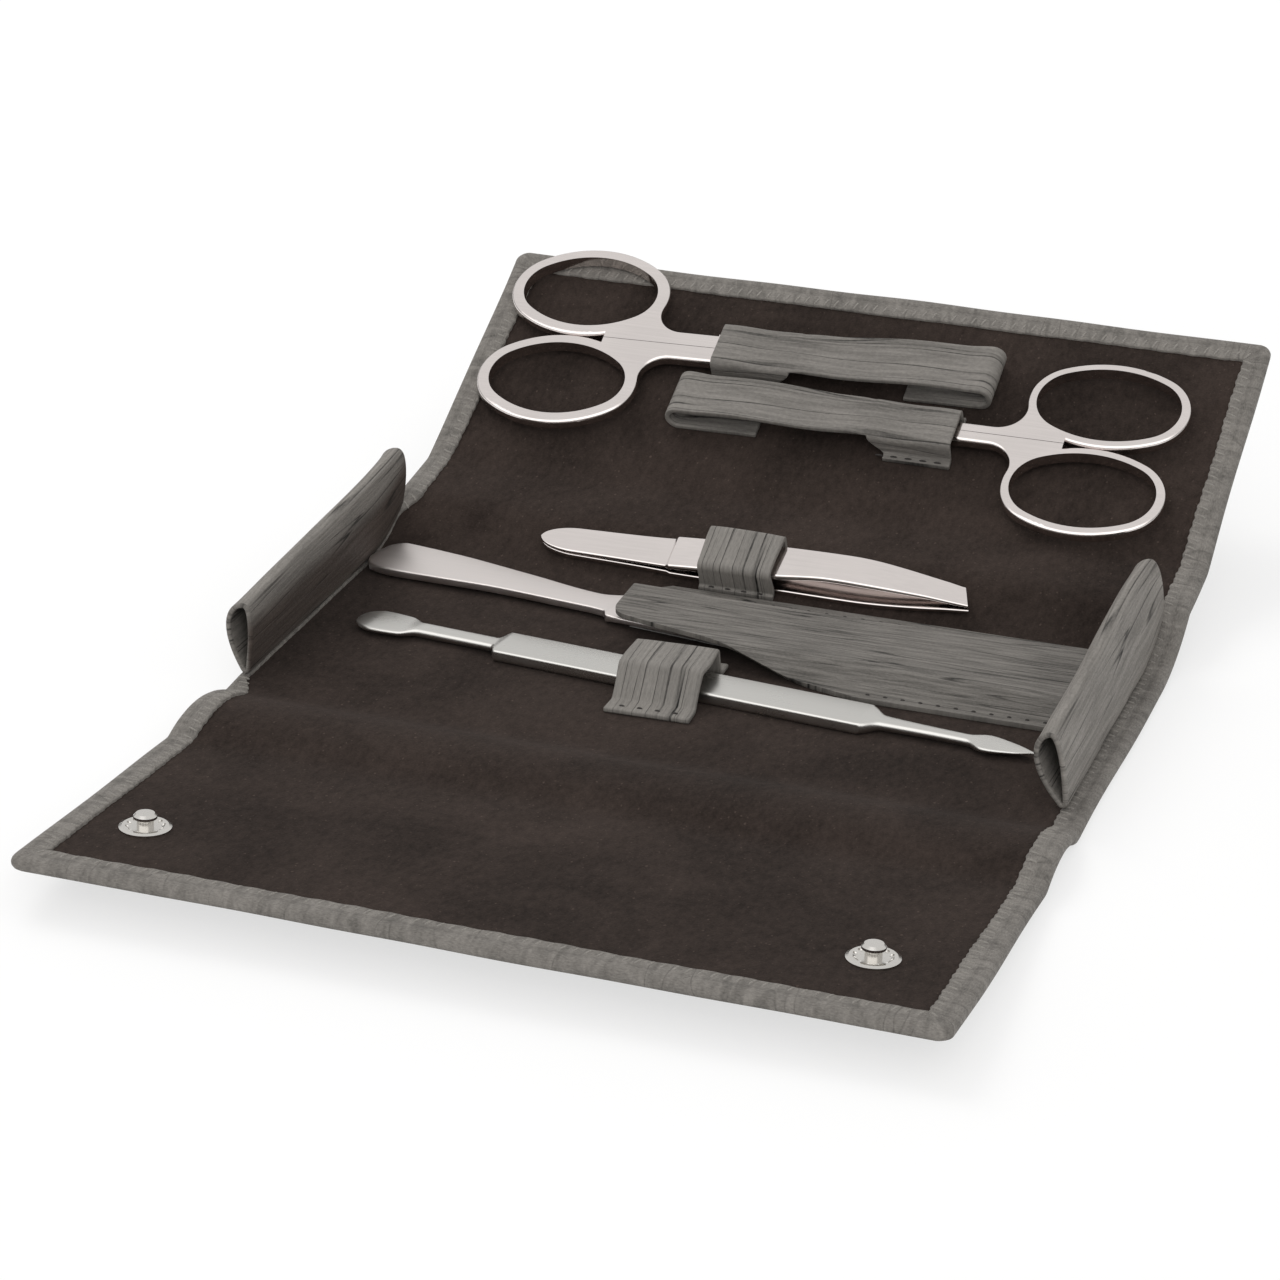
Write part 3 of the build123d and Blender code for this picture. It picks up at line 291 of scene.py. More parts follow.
def leather(
    name, colour, streaks, creases, pebbles=1.0, stretch=(1.0, 1.0), turned=False, seam=None, shadow=None,
):
    """Leather of one colour. stretch scales the grain along and across the strip, and turned runs it
    across. seam is the distance across, in metres, of a sewn row's groove. shadow is an attribute of
    the mesh that darkens the leather where it is one."""
    material, graph, surface = new_material(name, {"Specular IOR Level": 0.35})
    strip = graph.make("UVMap", uv_map="strip")
    along = graph.scaled(strip, (*stretch, 1.0))
    if turned:
        split = graph.node("SeparateXYZ", {0: along}).outputs
        along = graph.make("CombineXYZ", {0: split[1], 1: split[0]})
    amounts = {"Strip": along, "Streaks": streaks, "Creases": creases, "Pebbles": pebbles}
    look = graph.node("Group", amounts, node_tree=grain.tree).outputs
    shade, height = look["Shade"], look["Height"]
    if seam is not None:
        across = graph.node("SeparateXYZ", {0: strip}).outputs[1]
        off_seam = graph.maths("ABSOLUTE", graph.maths("SUBTRACT", across, seam))
        groove = graph.between(off_seam, 0.0001, 0.0006, 1.0, 0.0)
        # Painted shade: the colour darkens along the groove, beside its bump.
        shade, height = graph.total(shade, (groove, -0.12)), graph.total(height, (groove, -0.7))
    base = graph.tint(colour, shade)
    # Painted shade: where the shadow attribute is one, the colour is multiplied by a dark brown.
    if shadow:
        mask = graph.node("Attribute", attribute_name=shadow).outputs["Fac"]
        base = graph.mix(mask, base, painted_shade_brown, "MULTIPLY")
    dull = graph.between(shade, 0.7, 1.3, 0.72, 0.54)
    graph.feed(surface, {"Base Color": base, "Roughness": dull, "Normal": graph.bump(0.4, 0.00022, height)})
    return material


taupe = (0.178, 0.165, 0.150)
case_leather = leather("case_leather", taupe, 0.6, 0.7, 1.2)
hem_leather = leather("hem_leather", taupe, 2.0, 0.7, 1.6, (0.6, 2.2), turned=True, seam=-0.0026)
strap_leather = leather("strap_leather", (0.178, 0.166, 0.152), 2.3, 2.0, stretch=(0.6, 0.9))
sleeve_leather = leather("sleeve_leather", (0.146, 0.136, 0.124), 3.4, 2.1, stretch=(0.85, 1.7))
loop_leather = leather("loop_leather", (0.205, 0.192, 0.176), 1.2, 2.2, stretch=(0.4, 1.5))
# The guard's leather takes painted shade from its mesh's shade attribute.
guard_leather = leather(
    "guard_leather", (0.198, 0.184, 0.168), 2.2, 1.9, stretch=(0.6, 1.3), shadow="painted_inner_shade",
)
print("leathers:", [item.name for item in bpy.data.materials if item.name.endswith("_leather")])

# %% [markdown]
# ## The suede lining
# The lining is split suede in a very dark brown. Suede scatters light from its nap, so it has hardly
# any gloss, a faint sheen at a flat angle, and cloudy patches where the nap lies another way. A fine
# noise gives the nap, a broad one the patches, and rare bright grains stand for lint.

# %% Make the suede
suede_look = {"Roughness": 0.95, "Specular IOR Level": 0.06, "Sheen Weight": 0.02, "Sheen Roughness": 0.5}
suede_lining, graph, surface = new_material("suede_lining", suede_look)
strip = graph.make("UVMap", uv_map="strip")
patches = graph.noise(strip, (34.0, 34.0, 0.0), 4.0, 0.6, 0.8)
nap = graph.noise(strip, (480.0, 700.0, 0.0), 5.0, 0.75)
fibres = graph.noise(strip, (3000.0, 2000.0, 0.0), 2.0, 0.6)
lint = graph.between(graph.noise(strip, (1300.0, 1700.0, 4.0), 0.0), 0.74, 0.84)
cloud = graph.between(patches, 0.25, 0.75, 0.72, 1.30)
shade = graph.total(cloud, (graph.centred(nap, 1.6), 1.0), (graph.centred(fibres, 0.7), 1.0), (lint, 0.9))
base = graph.tint((0.0325, 0.0240, 0.0205), shade)
relief = graph.bump(0.5, 0.0002, graph.maths("ADD", nap, fibres))
graph.feed(surface, {"Base Color": base, "Normal": relief})
print("suede nodes:", len(graph.tree.nodes))

# %% [markdown]
# ## Metals
# The tools are polished steel under nickel, the snaps polished brass under nickel. A metal's look is
# mostly what it mirrors, so the work is in its roughness: broad noise for the buffing and fine
# scratches along the part. The abrasive of the nail file is a matt grey grit. These materials read
# Object coordinates, because the CAD parts have no UV map.

# %% Make the polish marks
polish, given, results = new_group("polish_marks", "Place", ("Scratches", "Smudges"), ("Mark", "Height"))
scratch = polish.noise(given["Place"], (60.0, 2600.0, 2600.0), 3.0, 0.6)
smudge = polish.noise(given["Place"], (70.0, 70.0, 70.0), 3.0, 0.55, 0.6)
scratches = polish.centred(scratch, given["Scratches"])
smudges = polish.centred(smudge, given["Smudges"])
polish.tree.links.new(polish.maths("ADD", scratches, smudges), results.inputs["Mark"])
polish.tree.links.new(scratches, results.inputs["Height"])
print("polish group nodes:", len(polish.tree.nodes))


# %% Make the metals, the grit and the thread
def rgba(colour, share=1.0):
    """Opaque colour times a share."""
    return (*[value * share for value in colour], 1.0)


def metal(name, colour, rough, scratches=0.4, smudges=0.5, bump=0.05):
    """Polished metal whose roughness and tint vary with the polish marks."""
    material, graph, surface = new_material(name, {"Metallic": 1.0})
    place = graph.node("TexCoord").outputs["Object"]
    marks = {"Place": place, "Scratches": scratches, "Smudges": smudges}
    look = graph.node("Group", marks, node_tree=polish.tree).outputs
    base = graph.mix(graph.between(look["Mark"], -0.3, 0.3), rgba(colour, 0.88), rgba(colour))
    dull = graph.between(look["Mark"], -0.3, 0.3, rough * 0.75, rough * 1.35)
    relief = graph.bump(bump, 0.0001, look["Height"])
    graph.feed(surface, {"Base Color": base, "Roughness": dull, "Normal": relief})
    return material


def matt(name, colour, grain_scale, depth, rough=0.9):
    """Matt solid with a fine grain in its colour and bump."""
    material, graph, surface = new_material(name, {"Roughness": rough})
    fine = graph.noise(graph.node("TexCoord").outputs["Object"], (grain_scale,) * 3, 3.0, 0.65)
    base = graph.mix(graph.between(fine, 0.25, 0.75), rgba(colour, 0.7), rgba(colour, 1.25))
    graph.feed(surface, {"Base Color": base, "Normal": graph.bump(0.6, depth, fine)})
    return material


polished_steel = metal("polished_steel", (0.80, 0.745, 0.725), 0.12)
brushed_steel = metal("brushed_steel", (0.82, 0.77, 0.75), 0.36, 0.3, 0.25, 0.03)
satin_steel = metal("satin_steel", (0.66, 0.65, 0.625), 0.27, 0.25, 0.25, 0.02)
nickel = metal("nickel", (0.70, 0.68, 0.65), 0.18)
spring_steel = metal("spring_steel", (0.56, 0.56, 0.57), 0.28, 1.0, 0.3)
abrasive = matt("abrasive", (0.36, 0.355, 0.35), 9000.0, 0.00008)
pressed_board = matt("pressed_board", (0.36, 0.31, 0.24), 700.0, 0.0001)
felt = matt("felt", (0.55, 0.53, 0.5), 1800.0, 0.0002)
thread = matt("thread", (0.235, 0.220, 0.200), 4000.0, 0.00005, 0.75)
# Painted shade: the straps' foot stitches are near black to stand for the shade in their stitch holes.
painted_hole_shade = matt("painted_hole_shade", (0.030, 0.026, 0.024), 4000.0, 0.00005, 0.75)
print("finishes:", [item.name for item in (polished_steel, brushed_steel, satin_steel, nickel, spring_steel)])
print("matt ones:", [item.name for item in (abrasive, pressed_board, felt, thread, painted_hole_shade)])

# %% Give the CAD parts their finishes
finish_of_slot = {
    "polished_steel": polished_steel, "nickel": nickel, "spring_steel": spring_steel,
    "abrasive": abrasive, "board": pressed_board, "interlining": felt,
    "case_leather": case_leather, "suede_lining": suede_lining,
}
for row in frame["record"]["subparts"]:
    node = frame["nodes"][row["node"]]
    node.data.materials.clear()
    node.data.materials.append(finish_of_slot[row["material_slot"]])

# %% [markdown]
# ## The case's side view
# All panels follow one line in the side view, the line of the hem's top. Its direction is piecewise:
# constant on a flat panel, rising evenly on the base's bend and falling evenly over the front spine's
# hump. A fold is a jump in direction. Smoothing the direction over a millimetre rounds each fold, and
# adding up short steps gives the line itself, so that leather and lining run through as one sheet.

# %% Name the panels' sizes, in mm and degrees
flap_length, front_spine_length, base_flat_length = 56.2, 21.0, 57.8
back_spine_length, cover_length = 14.4, 56.4
bend_radius, bend_angle = 29.8, 38.9
flap_slope, front_spine_slope, back_spine_slope, cover_slope = -5.2, -2.6, 7.0, 25.8
fold_back_y = -37.4
panel_thickness = 2.5
lining_depth = 0.5
hump = 2.5

hump_radius = (front_spine_length**2 / 4 + hump**2) / (2 * hump)
hump_half = math.degrees(math.asin(front_spine_length / 2 / hump_radius))
hump_length = 2 * math.radians(hump_half) * hump_radius
runs = [
    (flap_length, flap_slope, flap_slope),
    (hump_length, front_spine_slope + hump_half, front_spine_slope - hump_half),
    (base_flat_length, 0.0, 0.0),
    (math.radians(bend_angle) * bend_radius, 0.0, bend_angle),
    (back_spine_length, back_spine_slope, back_spine_slope),
    (cover_length, cover_slope, cover_slope),
]
ends = np.cumsum([0.0] + [run[0] for run in runs])
fold_stations = {"flap": ends[1], "front": ends[2], "rear": ends[4], "cover": ends[5]}
print("folds, mm along the strip:", np.round(list(fold_stations.values()), 1))

# %% Trace the side view
step = 0.05
margin = 6.0
line_s = np.arange(-margin, ends[-1] + margin + step, step)
direction = np.full_like(line_s, math.radians(flap_slope))
for (length, first, last), begin in zip(runs, ends):
    share = np.clip((line_s - begin) / length, 0.0, 1.0)
    direction = np.where(line_s >= begin, np.radians(first + (last - first) * share), direction)


def trace_line(rounding):
    """The side view as y, z and direction at each station, its folds rounded over a distance in mm."""
    reach = int(rounding / step)
    window = np.hanning(2 * reach + 1)
    smooth = np.convolve(np.pad(direction, reach, mode="edge"), window / window.sum(), mode="valid")
    y, z = np.cumsum(np.cos(smooth)) * step, np.cumsum(np.sin(smooth)) * step
    anchor = np.searchsorted(line_s, (ends[2] + ends[3]) / 2)
    y += fold_back_y + base_flat_length / 2 - y[anchor]
    z += panel_thickness - z[anchor]
    return y, z, smooth


case_line = trace_line(1.4)
soft_line = trace_line(5.0)


def on_case(x, s, depth, line=case_line):
    """Points at x, at station s along the side view and at a depth square to it, all arrays in mm."""
    x, s, depth = np.broadcast_arrays(np.asarray(x, float), np.asarray(s, float), np.asarray(depth, float))
    y, z, angle = (np.interp(s, line_s, values) for values in line)
    return np.stack([x, y + depth * np.sin(angle), z - depth * np.cos(angle)], axis=-1)


print("case line, mm:", round(float(ends[-1]), 1), "far edge", np.round(on_case(0, ends[-1], 0), 1))

# %% [markdown]
# ## From grids to meshes
# Every new piece is one or more grids of points. A grid gives quads between neighbouring rows and
# columns, and carries the strip's UV map. Grids that meet are merged by distance, and a thin sheet
# gets its thickness from Solidify and its soft rim from Bevel.

# %% Write the mesh helpers
def grid_quads(rows, columns, start, flip):
    """Quads of a grid whose points are numbered row by row from start."""
    row, column = np.meshgrid(np.arange(rows - 1), np.arange(columns - 1), indexing="ij")
    corner = (start + row * columns + column).ravel()
    quads = np.stack([corner, corner + 1, corner + columns + 1, corner + columns], axis=1)
    return quads[:, ::-1] if flip else quads


def make_piece(name, patches, material, merge=0.004, close=False, crease=50.0):
    """Mesh from patches of (points in mm, strip UV in mm, flip), merged, with sharp edges by angle."""
    points, strips, quads, start = [], [], [], 0
    for grid, strip, flip in patches:
        rows, columns = grid.shape[:2]
        points.append(grid.reshape(-1, 3))
        strips.append(np.broadcast_to(strip, (rows, columns, 2)).reshape(-1, 2))
        quads.append(grid_quads(rows, columns, start, flip))
        start += rows * columns
    quads = np.concatenate(quads)
    mesh = bpy.data.meshes.new(name)
    mesh.from_pydata((np.concatenate(points) * MM).tolist(), [], quads.tolist())
    places = (np.concatenate(strips) * MM)[quads.ravel()]
    mesh.uv_layers.new(name="strip").data.foreach_set("uv", places.astype(np.float32).ravel())
    body = bmesh.new()
    body.from_mesh(mesh)
    bmesh.ops.remove_doubles(body, verts=body.verts, dist=merge * MM)
    bmesh.ops.dissolve_degenerate(body, edges=body.edges, dist=0.0005 * MM)
    rims = [edge for edge in body.edges if edge.is_boundary]
    if close:
        for edge in rims:
            edge.smooth = False
        bmesh.ops.holes_fill(body, edges=rims, sides=0)
    if close or not rims:
        bmesh.ops.recalc_face_normals(body, faces=body.faces)
    for face in body.faces:
        face.smooth = True
    for edge in body.edges:
        if len(edge.link_faces) == 2 and edge.calc_face_angle(0.0) > math.radians(crease):
            edge.smooth = False
    body.to_mesh(mesh)
    body.free()
    mesh.materials.append(material)
    piece = bpy.data.objects.new(name, mesh)
    bpy.context.scene.collection.objects.link(piece)
    return piece


def thicken(piece, thickness, rim=0.3):
    """Solidify about the middle of the sheet, then a bevel that softens its rim; both applied."""
    wall = piece.modifiers.new("wall", "SOLIDIFY")
    wall.thickness = thickness * MM
    wall.offset = 0.0
    wall.use_even_offset = True
    soft = piece.modifiers.new("rim", "BEVEL")
    soft.width = rim * MM
    soft.segments = 3
    soft.limit_method = "ANGLE"
    soft.angle_limit = math.radians(55)
    bpy.context.view_layer.update()
    ready = bpy.data.meshes.new_from_object(piece.evaluated_get(bpy.context.evaluated_depsgraph_get()))
    piece.modifiers.clear()
    piece.data = ready
    ready.polygons.foreach_set("use_smooth", [True] * len(ready.polygons))
    return piece


def seat(piece, body, node):
    """Lets a piece ride on a body in place of that body's CAD node."""
    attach(piece, body)
    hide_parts(node)
    print(piece.name, "faces:", len(piece.data.polygons))
    return piece


# %% [markdown]
# ## Outer leather
# The outer leather is one skin that wraps the boards: it runs over the outside, rounds the edge and
# comes back on the lining side as the hem. Across the edge it has one profile, given by its distance
# in from the edge and its depth. That profile is carried round the case's outline. Where the outline
# turns a corner, all its points share one inner corner, which is the mitre of the hem.
# The skin is made in four lengths. Each bends across one fold, and they meet in the middle of a panel.

# %% Name the hem's sizes and the four lengths
half_width = 75.0
side_hem, end_hem, corner = 4.8, 5.2, 2.4
hem_profile = np.array([
    (1.00, 1.3), (1.00, 0.16), (0.975, 0.03), (0.93, -0.02), (0.78, -0.03), (0.6, -0.05), (0.42, -0.05),
    (0.28, 0.0), (0.17, 0.12), (0.08, 0.36), (0.025, 0.72), (0.0, 1.15), (0.01, 1.6), (0.06, 2.05),
    (0.15, 2.35), (0.3, 2.48), (0.55, 2.5), (1.0, 2.5),
])
hem_top_rows = 5
edge_points = np.linspace(corner - half_width, half_width - corner, 101)
guard_front, guard_length = -31.0, 68.0
guard_start = guard_front - fold_back_y
guard_span = (ends[2] + guard_start, ends[2] + guard_start + guard_length)
section_ends = [0.0, (ends[1] + ends[2]) / 2, ends[2] + 26.0, (ends[4] + ends[5]) / 2, ends[-1]]
zones = {
    "front_flap": (0, "front_flap", "front_spine", "flap"),
    "front_base": (1, "front_spine", "base", "front"),
    "rear_base": (2, "base", "back_spine", "rear"),
    "cover": (3, "back_spine", "cover", "cover"),
}
print("lengths meet at, mm:", np.round(section_ends[1:-1], 1))


# %% Write the edge and its hem
def between_smooth(value, low, high):
    """Zero below low and one above high, with a smooth rise between; low and high may be swapped."""
    share = np.clip((value - low) / (high - low), 0.0, 1.0)
    return share * share * (3 - 2 * share)


def hem_wave(along, side):
    """Small waver of the hem's cut edge, as a share of the hem, from sines of unlike lengths."""
    fine = 0.022 * np.sin(along * 3.2 + side) + 0.016 * np.sin(along * 1.13 + 2 * side)
    return 1.0 + fine + 0.02 * np.sin(along * 0.21 + side)


def hem_width(s, side):
    """Width of the side hem in mm: on the left it narrows where the guard is sewn over its inner edge."""
    begun = between_smooth(s, guard_span[0] - 7, guard_span[0])
    return side_hem - 2.9 * begun * between_smooth(s, guard_span[1] + 4, guard_span[1] - 2) * (side < 0)


def edge_drift(s, side):
    """Slow drift of the case's side edge in mm; the far left corner lies a little further out."""
    far_left = 1.1 * np.clip((s - ends[5] - 18) / 38, 0, 1) ** 2 * (side < 0)
    return 0.22 * np.sin(s * 0.045 + side) + 0.12 * np.sin(s * 0.13 - side) + far_left


def flat(x, s):
    """Points (x, station) from two arrays or numbers."""
    return np.stack(np.broadcast_arrays(x, s), axis=1)


def outline_of(first, last, front_end, rear_end):
    """Outline from the left side round any free end to the right side: points, inner points and length."""
    low = first + corner if front_end else first
    high = last - corner if rear_end else last
    stations = np.linspace(low, high, int((last - first) / 0.5) + 1)
    held = np.clip(stations, first + end_hem * front_end, last - end_hem * rear_end)
    left = flat(-half_width - edge_drift(stations, -1), stations)
    right = flat(half_width + edge_drift(stations, 1), stations)
    left_in = flat(hem_width(held, -1) - half_width, held)
    right_in = flat(half_width - hem_width(held, 1), held)
    if not (front_end or rear_end):
        return [(left, left_in, stations), (right[::-1], right_in[::-1], stations[::-1])]
    if front_end:
        left, left_in = left[::-1], left_in[::-1]
    else:
        right, right_in = right[::-1], right_in[::-1]
    end, inward = (first, 1) if front_end else (last, -1)
    centre, corner_in = end + inward * corner, end + inward * end_hem
    side_in = half_width - side_hem
    turns = np.radians(np.linspace(0, 90, 9))[1:-1]
    widen_left, widen_right = edge_drift(np.array([centre]), -1)[0], edge_drift(np.array([centre]), 1)[0]
    stretch = np.interp(edge_points, edge_points[[0, -1]], [-widen_left, widen_right])
    wave = 0.25 * np.sin(edge_points * 0.055 + 1.0) + 0.1 * np.sin(edge_points * 0.21)
    edge = flat(edge_points + stretch, end - inward * wave * np.cos(edge_points / half_width * 1.4))
    arc_left = flat(
        corner - half_width - widen_left - corner * np.cos(turns), centre - inward * corner * np.sin(turns),
    )
    arc_right = flat(
        half_width - corner + widen_right + corner * np.sin(turns), centre - inward * corner * np.cos(turns),
    )
    edge_in = flat(np.clip(edge_points, -side_in, side_in), corner_in)
    arc_in = np.tile([-side_in, corner_in], (len(turns), 1))
    outer = np.concatenate([left, arc_left, edge, arc_right, right])
    inner = np.concatenate([left_in, arc_in, edge_in, arc_in * (-1, 1), right_in])
    length = np.concatenate([[0.0], np.cumsum(np.hypot(*np.diff(outer, axis=0).T))])
    return [(outer, inner, length)]


def hem_strip(outer, inner, along, side):
    """Grid of the hem's profile carried along an outline: rows along it, columns across it."""
    rows = np.arange(len(hem_profile))
    on_top = (rows > 0) & (rows < hem_top_rows)
    share = hem_profile[:, 0][None, :] * np.where(on_top[None, :], hem_wave(along, side)[:, None], 1.0)
    plan = outer[:, None, :] + (inner - outer)[:, None, :] * share[:, :, None]
    points = on_case(plan[..., 0], plan[..., 1], hem_profile[:, 1])
    steps = np.diff(hem_profile, axis=0) * (side_hem, 1.0)
    across = np.concatenate([[0.0], np.cumsum(np.hypot(*steps.T))])
    across = across[2] - across
    return points, np.stack(np.broadcast_arrays(along[:, None], across[None, :]), axis=-1)


def inner_face(x, s, depth, flip):
    """Grid of the skin between the hems at one depth, with its strip map."""
    return on_case(x, s, depth), np.stack([s, x], axis=-1), flip


print("hem profile points:", len(hem_profile))

# %% Wrap the case in its outer leather
shell_pieces = {}
for zone, (index, *_) in zones.items():
    front_end, rear_end = index == 0, index == 3
    patches = []
    for outer, inner, along in outline_of(*section_ends[index:index + 2], front_end, rear_end):
        patches.append((*hem_strip(outer, inner, along, index + 1.0), front_end))
    stations = np.unique(inner[:, 1].round(6))[:, None]
    spread = np.linspace(0.0, 1.0, 61)[None, :]
    if front_end or rear_end:
        spread = np.unique(np.clip(edge_points, side_hem - half_width, half_width - side_hem))
        spread = ((spread - spread[0]) / (spread[-1] - spread[0]))[None, :]
    flat_left, flat_right = hem_width(stations, -1) - half_width, half_width - hem_width(stations, 1)
    flat_x, flat_s = np.broadcast_arrays(flat_left + (flat_right - flat_left) * spread, stations)
    under_board, over_board = hem_profile[-1, 1], hem_profile[0, 1]
    patches += [inner_face(flat_x, flat_s, under_board, True), inner_face(flat_x, flat_s, over_board, False)]
    shell = make_piece(f"{zone}_leather", patches, hem_leather, merge=0.003, close=True, crease=70.0)
    shell_pieces[zone] = shell
    print(shell.name, "faces", len(shell.data.polygons))

# %% [markdown]
# ## The lengths at the folds
# A fold is a hinge between two bodies. Each length of leather has its transform baked into its mesh,
# and the CAD panels that it covers are hidden.

# %% Bake the pieces' transforms
def bend_with_fold(piece, zone, half=4.0):
    """Bakes a piece's transform into its mesh. The points half a span either side of its fold go unused."""
    _, body_a, body_b, fold = zones[zone]
    start, end = (tuple(on_case(0.0, fold_stations[fold] + away, 0.0) * MM) for away in (-half, half))
    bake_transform(piece)


panel_nodes = {
    "front_flap": ["front_flap"], "front_base": ["front_spine"], "rear_base": ["base"],
    "cover": ["back_spine", "cover"],
}
for zone, piece in shell_pieces.items():
    bend_with_fold(piece, zone)
    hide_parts(*[f"{panel}_outer_leather" for panel in panel_nodes[zone]])
    print(piece.name, "bends from", zones[zone][1], "to", zones[zone][2])

# %% [markdown]
# ## Suede lining
# The lining lies half a millimetre below the hem's top and is tucked under it. It is a thin sheet with
# very shallow hollows, because glued suede is never quite flat.

# %% Lay the lining
def lining_height(x, s):
    """Depth of the lining in mm: a little less than nominal, and a shallow unevenness of unlike waves."""
    waver = 0.05 * np.sin(x * 0.11 + 1.0) * np.sin(s * 0.14) + 0.03 * np.sin(x * 0.31 - s * 0.27)
    return 0.48 - waver


tuck = 2.2
for zone, (index, *_) in zones.items():
    low = section_ends[index] + (end_hem - tuck) * (index == 0)
    high = section_ends[index + 1] - (end_hem - tuck) * (index == 3)
    stations = np.linspace(low, high, int((high - low) / 0.8) + 1)[:, None]
    spread = np.linspace(0.0, 1.0, 121)[None, :]
    lining_left = np.maximum(hem_width(stations, -1) - tuck, 0.9) - half_width
    lining_right = half_width - hem_width(stations, 1) + tuck
    lining_x, lining_s = np.broadcast_arrays(lining_left + (lining_right - lining_left) * spread, stations)
    top = on_case(lining_x, lining_s, lining_height(lining_x, lining_s), soft_line)
    strip = np.stack([lining_s, lining_x], axis=-1)
    sheet = make_piece(f"{zone}_suede", [(top, strip, False)], suede_lining)
    bend_with_fold(sheet, zone)
    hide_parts(*[f"{panel}_lining" for panel in panel_nodes[zone]])

# %% [markdown]
# ## Straps and loops
# A loop is a strap of leather on edge over a tool: sewn down by its foot, up one side, over the crown
# and down the other. Its side view is a bent line with each corner rounded. Carried along its width it
# is a grid, and Solidify gives it the leather's thickness. A strap is never quite straight, so its
# crown falls a little towards its two cut edges, which also waver.

# %% Write the strap helpers
leather_thickness = 0.9
strap_middle = 0.06 + leather_thickness / 2
strap_life = 0.12


def rounded_path(corners, radii, spacing=0.45):
    """Bent line with an arc at each inner corner, as points at an even spacing and their running length."""
    corners = np.asarray(corners, float)
    radii = np.broadcast_to(radii, len(corners) - 2)
    turns = [corners[0]]
    for before, here, after, radius in zip(corners[:-2], corners[1:-1], corners[2:], radii):
        to_before = (before - here) / np.linalg.norm(before - here)
        to_after = (after - here) / np.linalg.norm(after - here)
        half = math.acos(np.clip(to_before @ to_after, -1.0, 1.0)) / 2
        middle = (to_before + to_after) / np.linalg.norm(to_before + to_after)
        centre = here + middle * radius / math.sin(half)
        first = here + to_before * radius / math.tan(half) - centre
        last = here + to_after * radius / math.tan(half) - centre
        angle = np.linspace(0.0, math.atan2(first[0] * last[1] - first[1] * last[0], first @ last), 8)
        turns.extend(centre + np.outer(np.cos(angle), first) + np.outer(np.sin(angle), (-first[1], first[0])))
    turns = np.array([*turns, corners[-1]])
    points = [turns[:1]]
    for first, last in zip(turns[:-1], turns[1:]):
        count = max(1, int(np.ceil(np.linalg.norm(last - first) / spacing)))
        points.append(first + (last - first) * (np.arange(1, count + 1) / count)[:, None])
    points = np.concatenate(points)
    return points, np.concatenate([[0.0], np.cumsum(np.linalg.norm(np.diff(points, axis=0), axis=1))])


def above_base(station, height):
    """Side view point (y, z) over the base's lining, station counted from the front spine's fold."""
    return on_case(0.0, ends[2] + station, lining_depth - height)[1:]


def base_station(y):
    """Station of the point at y on the base."""
    bent = y - fold_back_y - base_flat_length
    return y - fold_back_y if bent <= 0 else base_flat_length + bend_radius * math.asin(bent / bend_radius)


def loop_strap(name, side_view, width, centre, turned, node):
    """Loop whose side view (y, z) is carried along x by its width, then turned about a point of its seat."""
    path, running = side_view
    share = np.linspace(-1.0, 1.0, 29)[None, :]
    lift = np.clip((path[:, 1] - path[:, 1].min()) / np.ptp(path[:, 1]), 0.0, 1.0)[:, None]
    x = width / 2 * share + strap_life * np.sin(0.45 * running[:, None] + share) * (np.abs(share) > 0.99)
    ripple = 0.05 * lift * np.sin(0.6 * running[:, None] + 2 * share)
    z = path[:, 1:] - 0.16 * lift * np.abs(share) ** 3 + ripple
    cosine, sine = math.cos(turned), math.sin(turned)
    across = np.broadcast_to(path[:, :1], x.shape) - centre[1]
    turned_x, turned_y = centre[0] + x * cosine - across * sine, centre[1] + x * sine + across * cosine
    points = np.stack([turned_x, turned_y, z], axis=-1)
    strip = np.stack(np.broadcast_arrays(running[:, None], width / 2 * share), axis=-1)
    strap = thicken(make_piece(name, [(points, strip, False)], loop_leather), leather_thickness)
    seat(strap, "base", node)


print("strap's middle over the lining, mm:", strap_middle)

# %% Shape the pusher loop
pusher_x, pusher_y, pusher_turn = -64.2, -3.9, math.radians(-4.8)
pusher_loop_x, pusher_loop_width, pusher_loop_turn = -4.3, 15.0, math.radians(2.0)
pusher_loop_y = pusher_y + (pusher_loop_x - pusher_x) * math.tan(pusher_turn)
pusher_half, tool_gap = 4.1, 0.55
lining_z = panel_thickness - lining_depth
loop_foot, loop_slope, loop_spread, loop_crown = 4.2, 4.6, 13.2, 6.2 - leather_thickness / 2
loop_lean = pusher_loop_width / 2 * math.tan(pusher_loop_turn - pusher_turn)
loop_side = pusher_half + tool_gap + loop_lean + leather_thickness / 2
pusher_loop_view = rounded_path(
    np.array([
        (-loop_spread, strap_middle), (loop_foot - loop_spread, strap_middle),
        (loop_foot + loop_slope - loop_spread, loop_crown), (loop_side - leather_thickness, loop_crown),
        (loop_side + leather_thickness / 2, strap_middle), (loop_side + loop_foot, strap_middle),
    ]) + (pusher_loop_y, lining_z), 1.2,
)
pusher_loop_seat = (pusher_loop_x, pusher_loop_y)
loop_strap(
    "pusher_loop_strap", pusher_loop_view, pusher_loop_width, pusher_loop_seat, pusher_loop_turn,
    "pusher_loop",
)

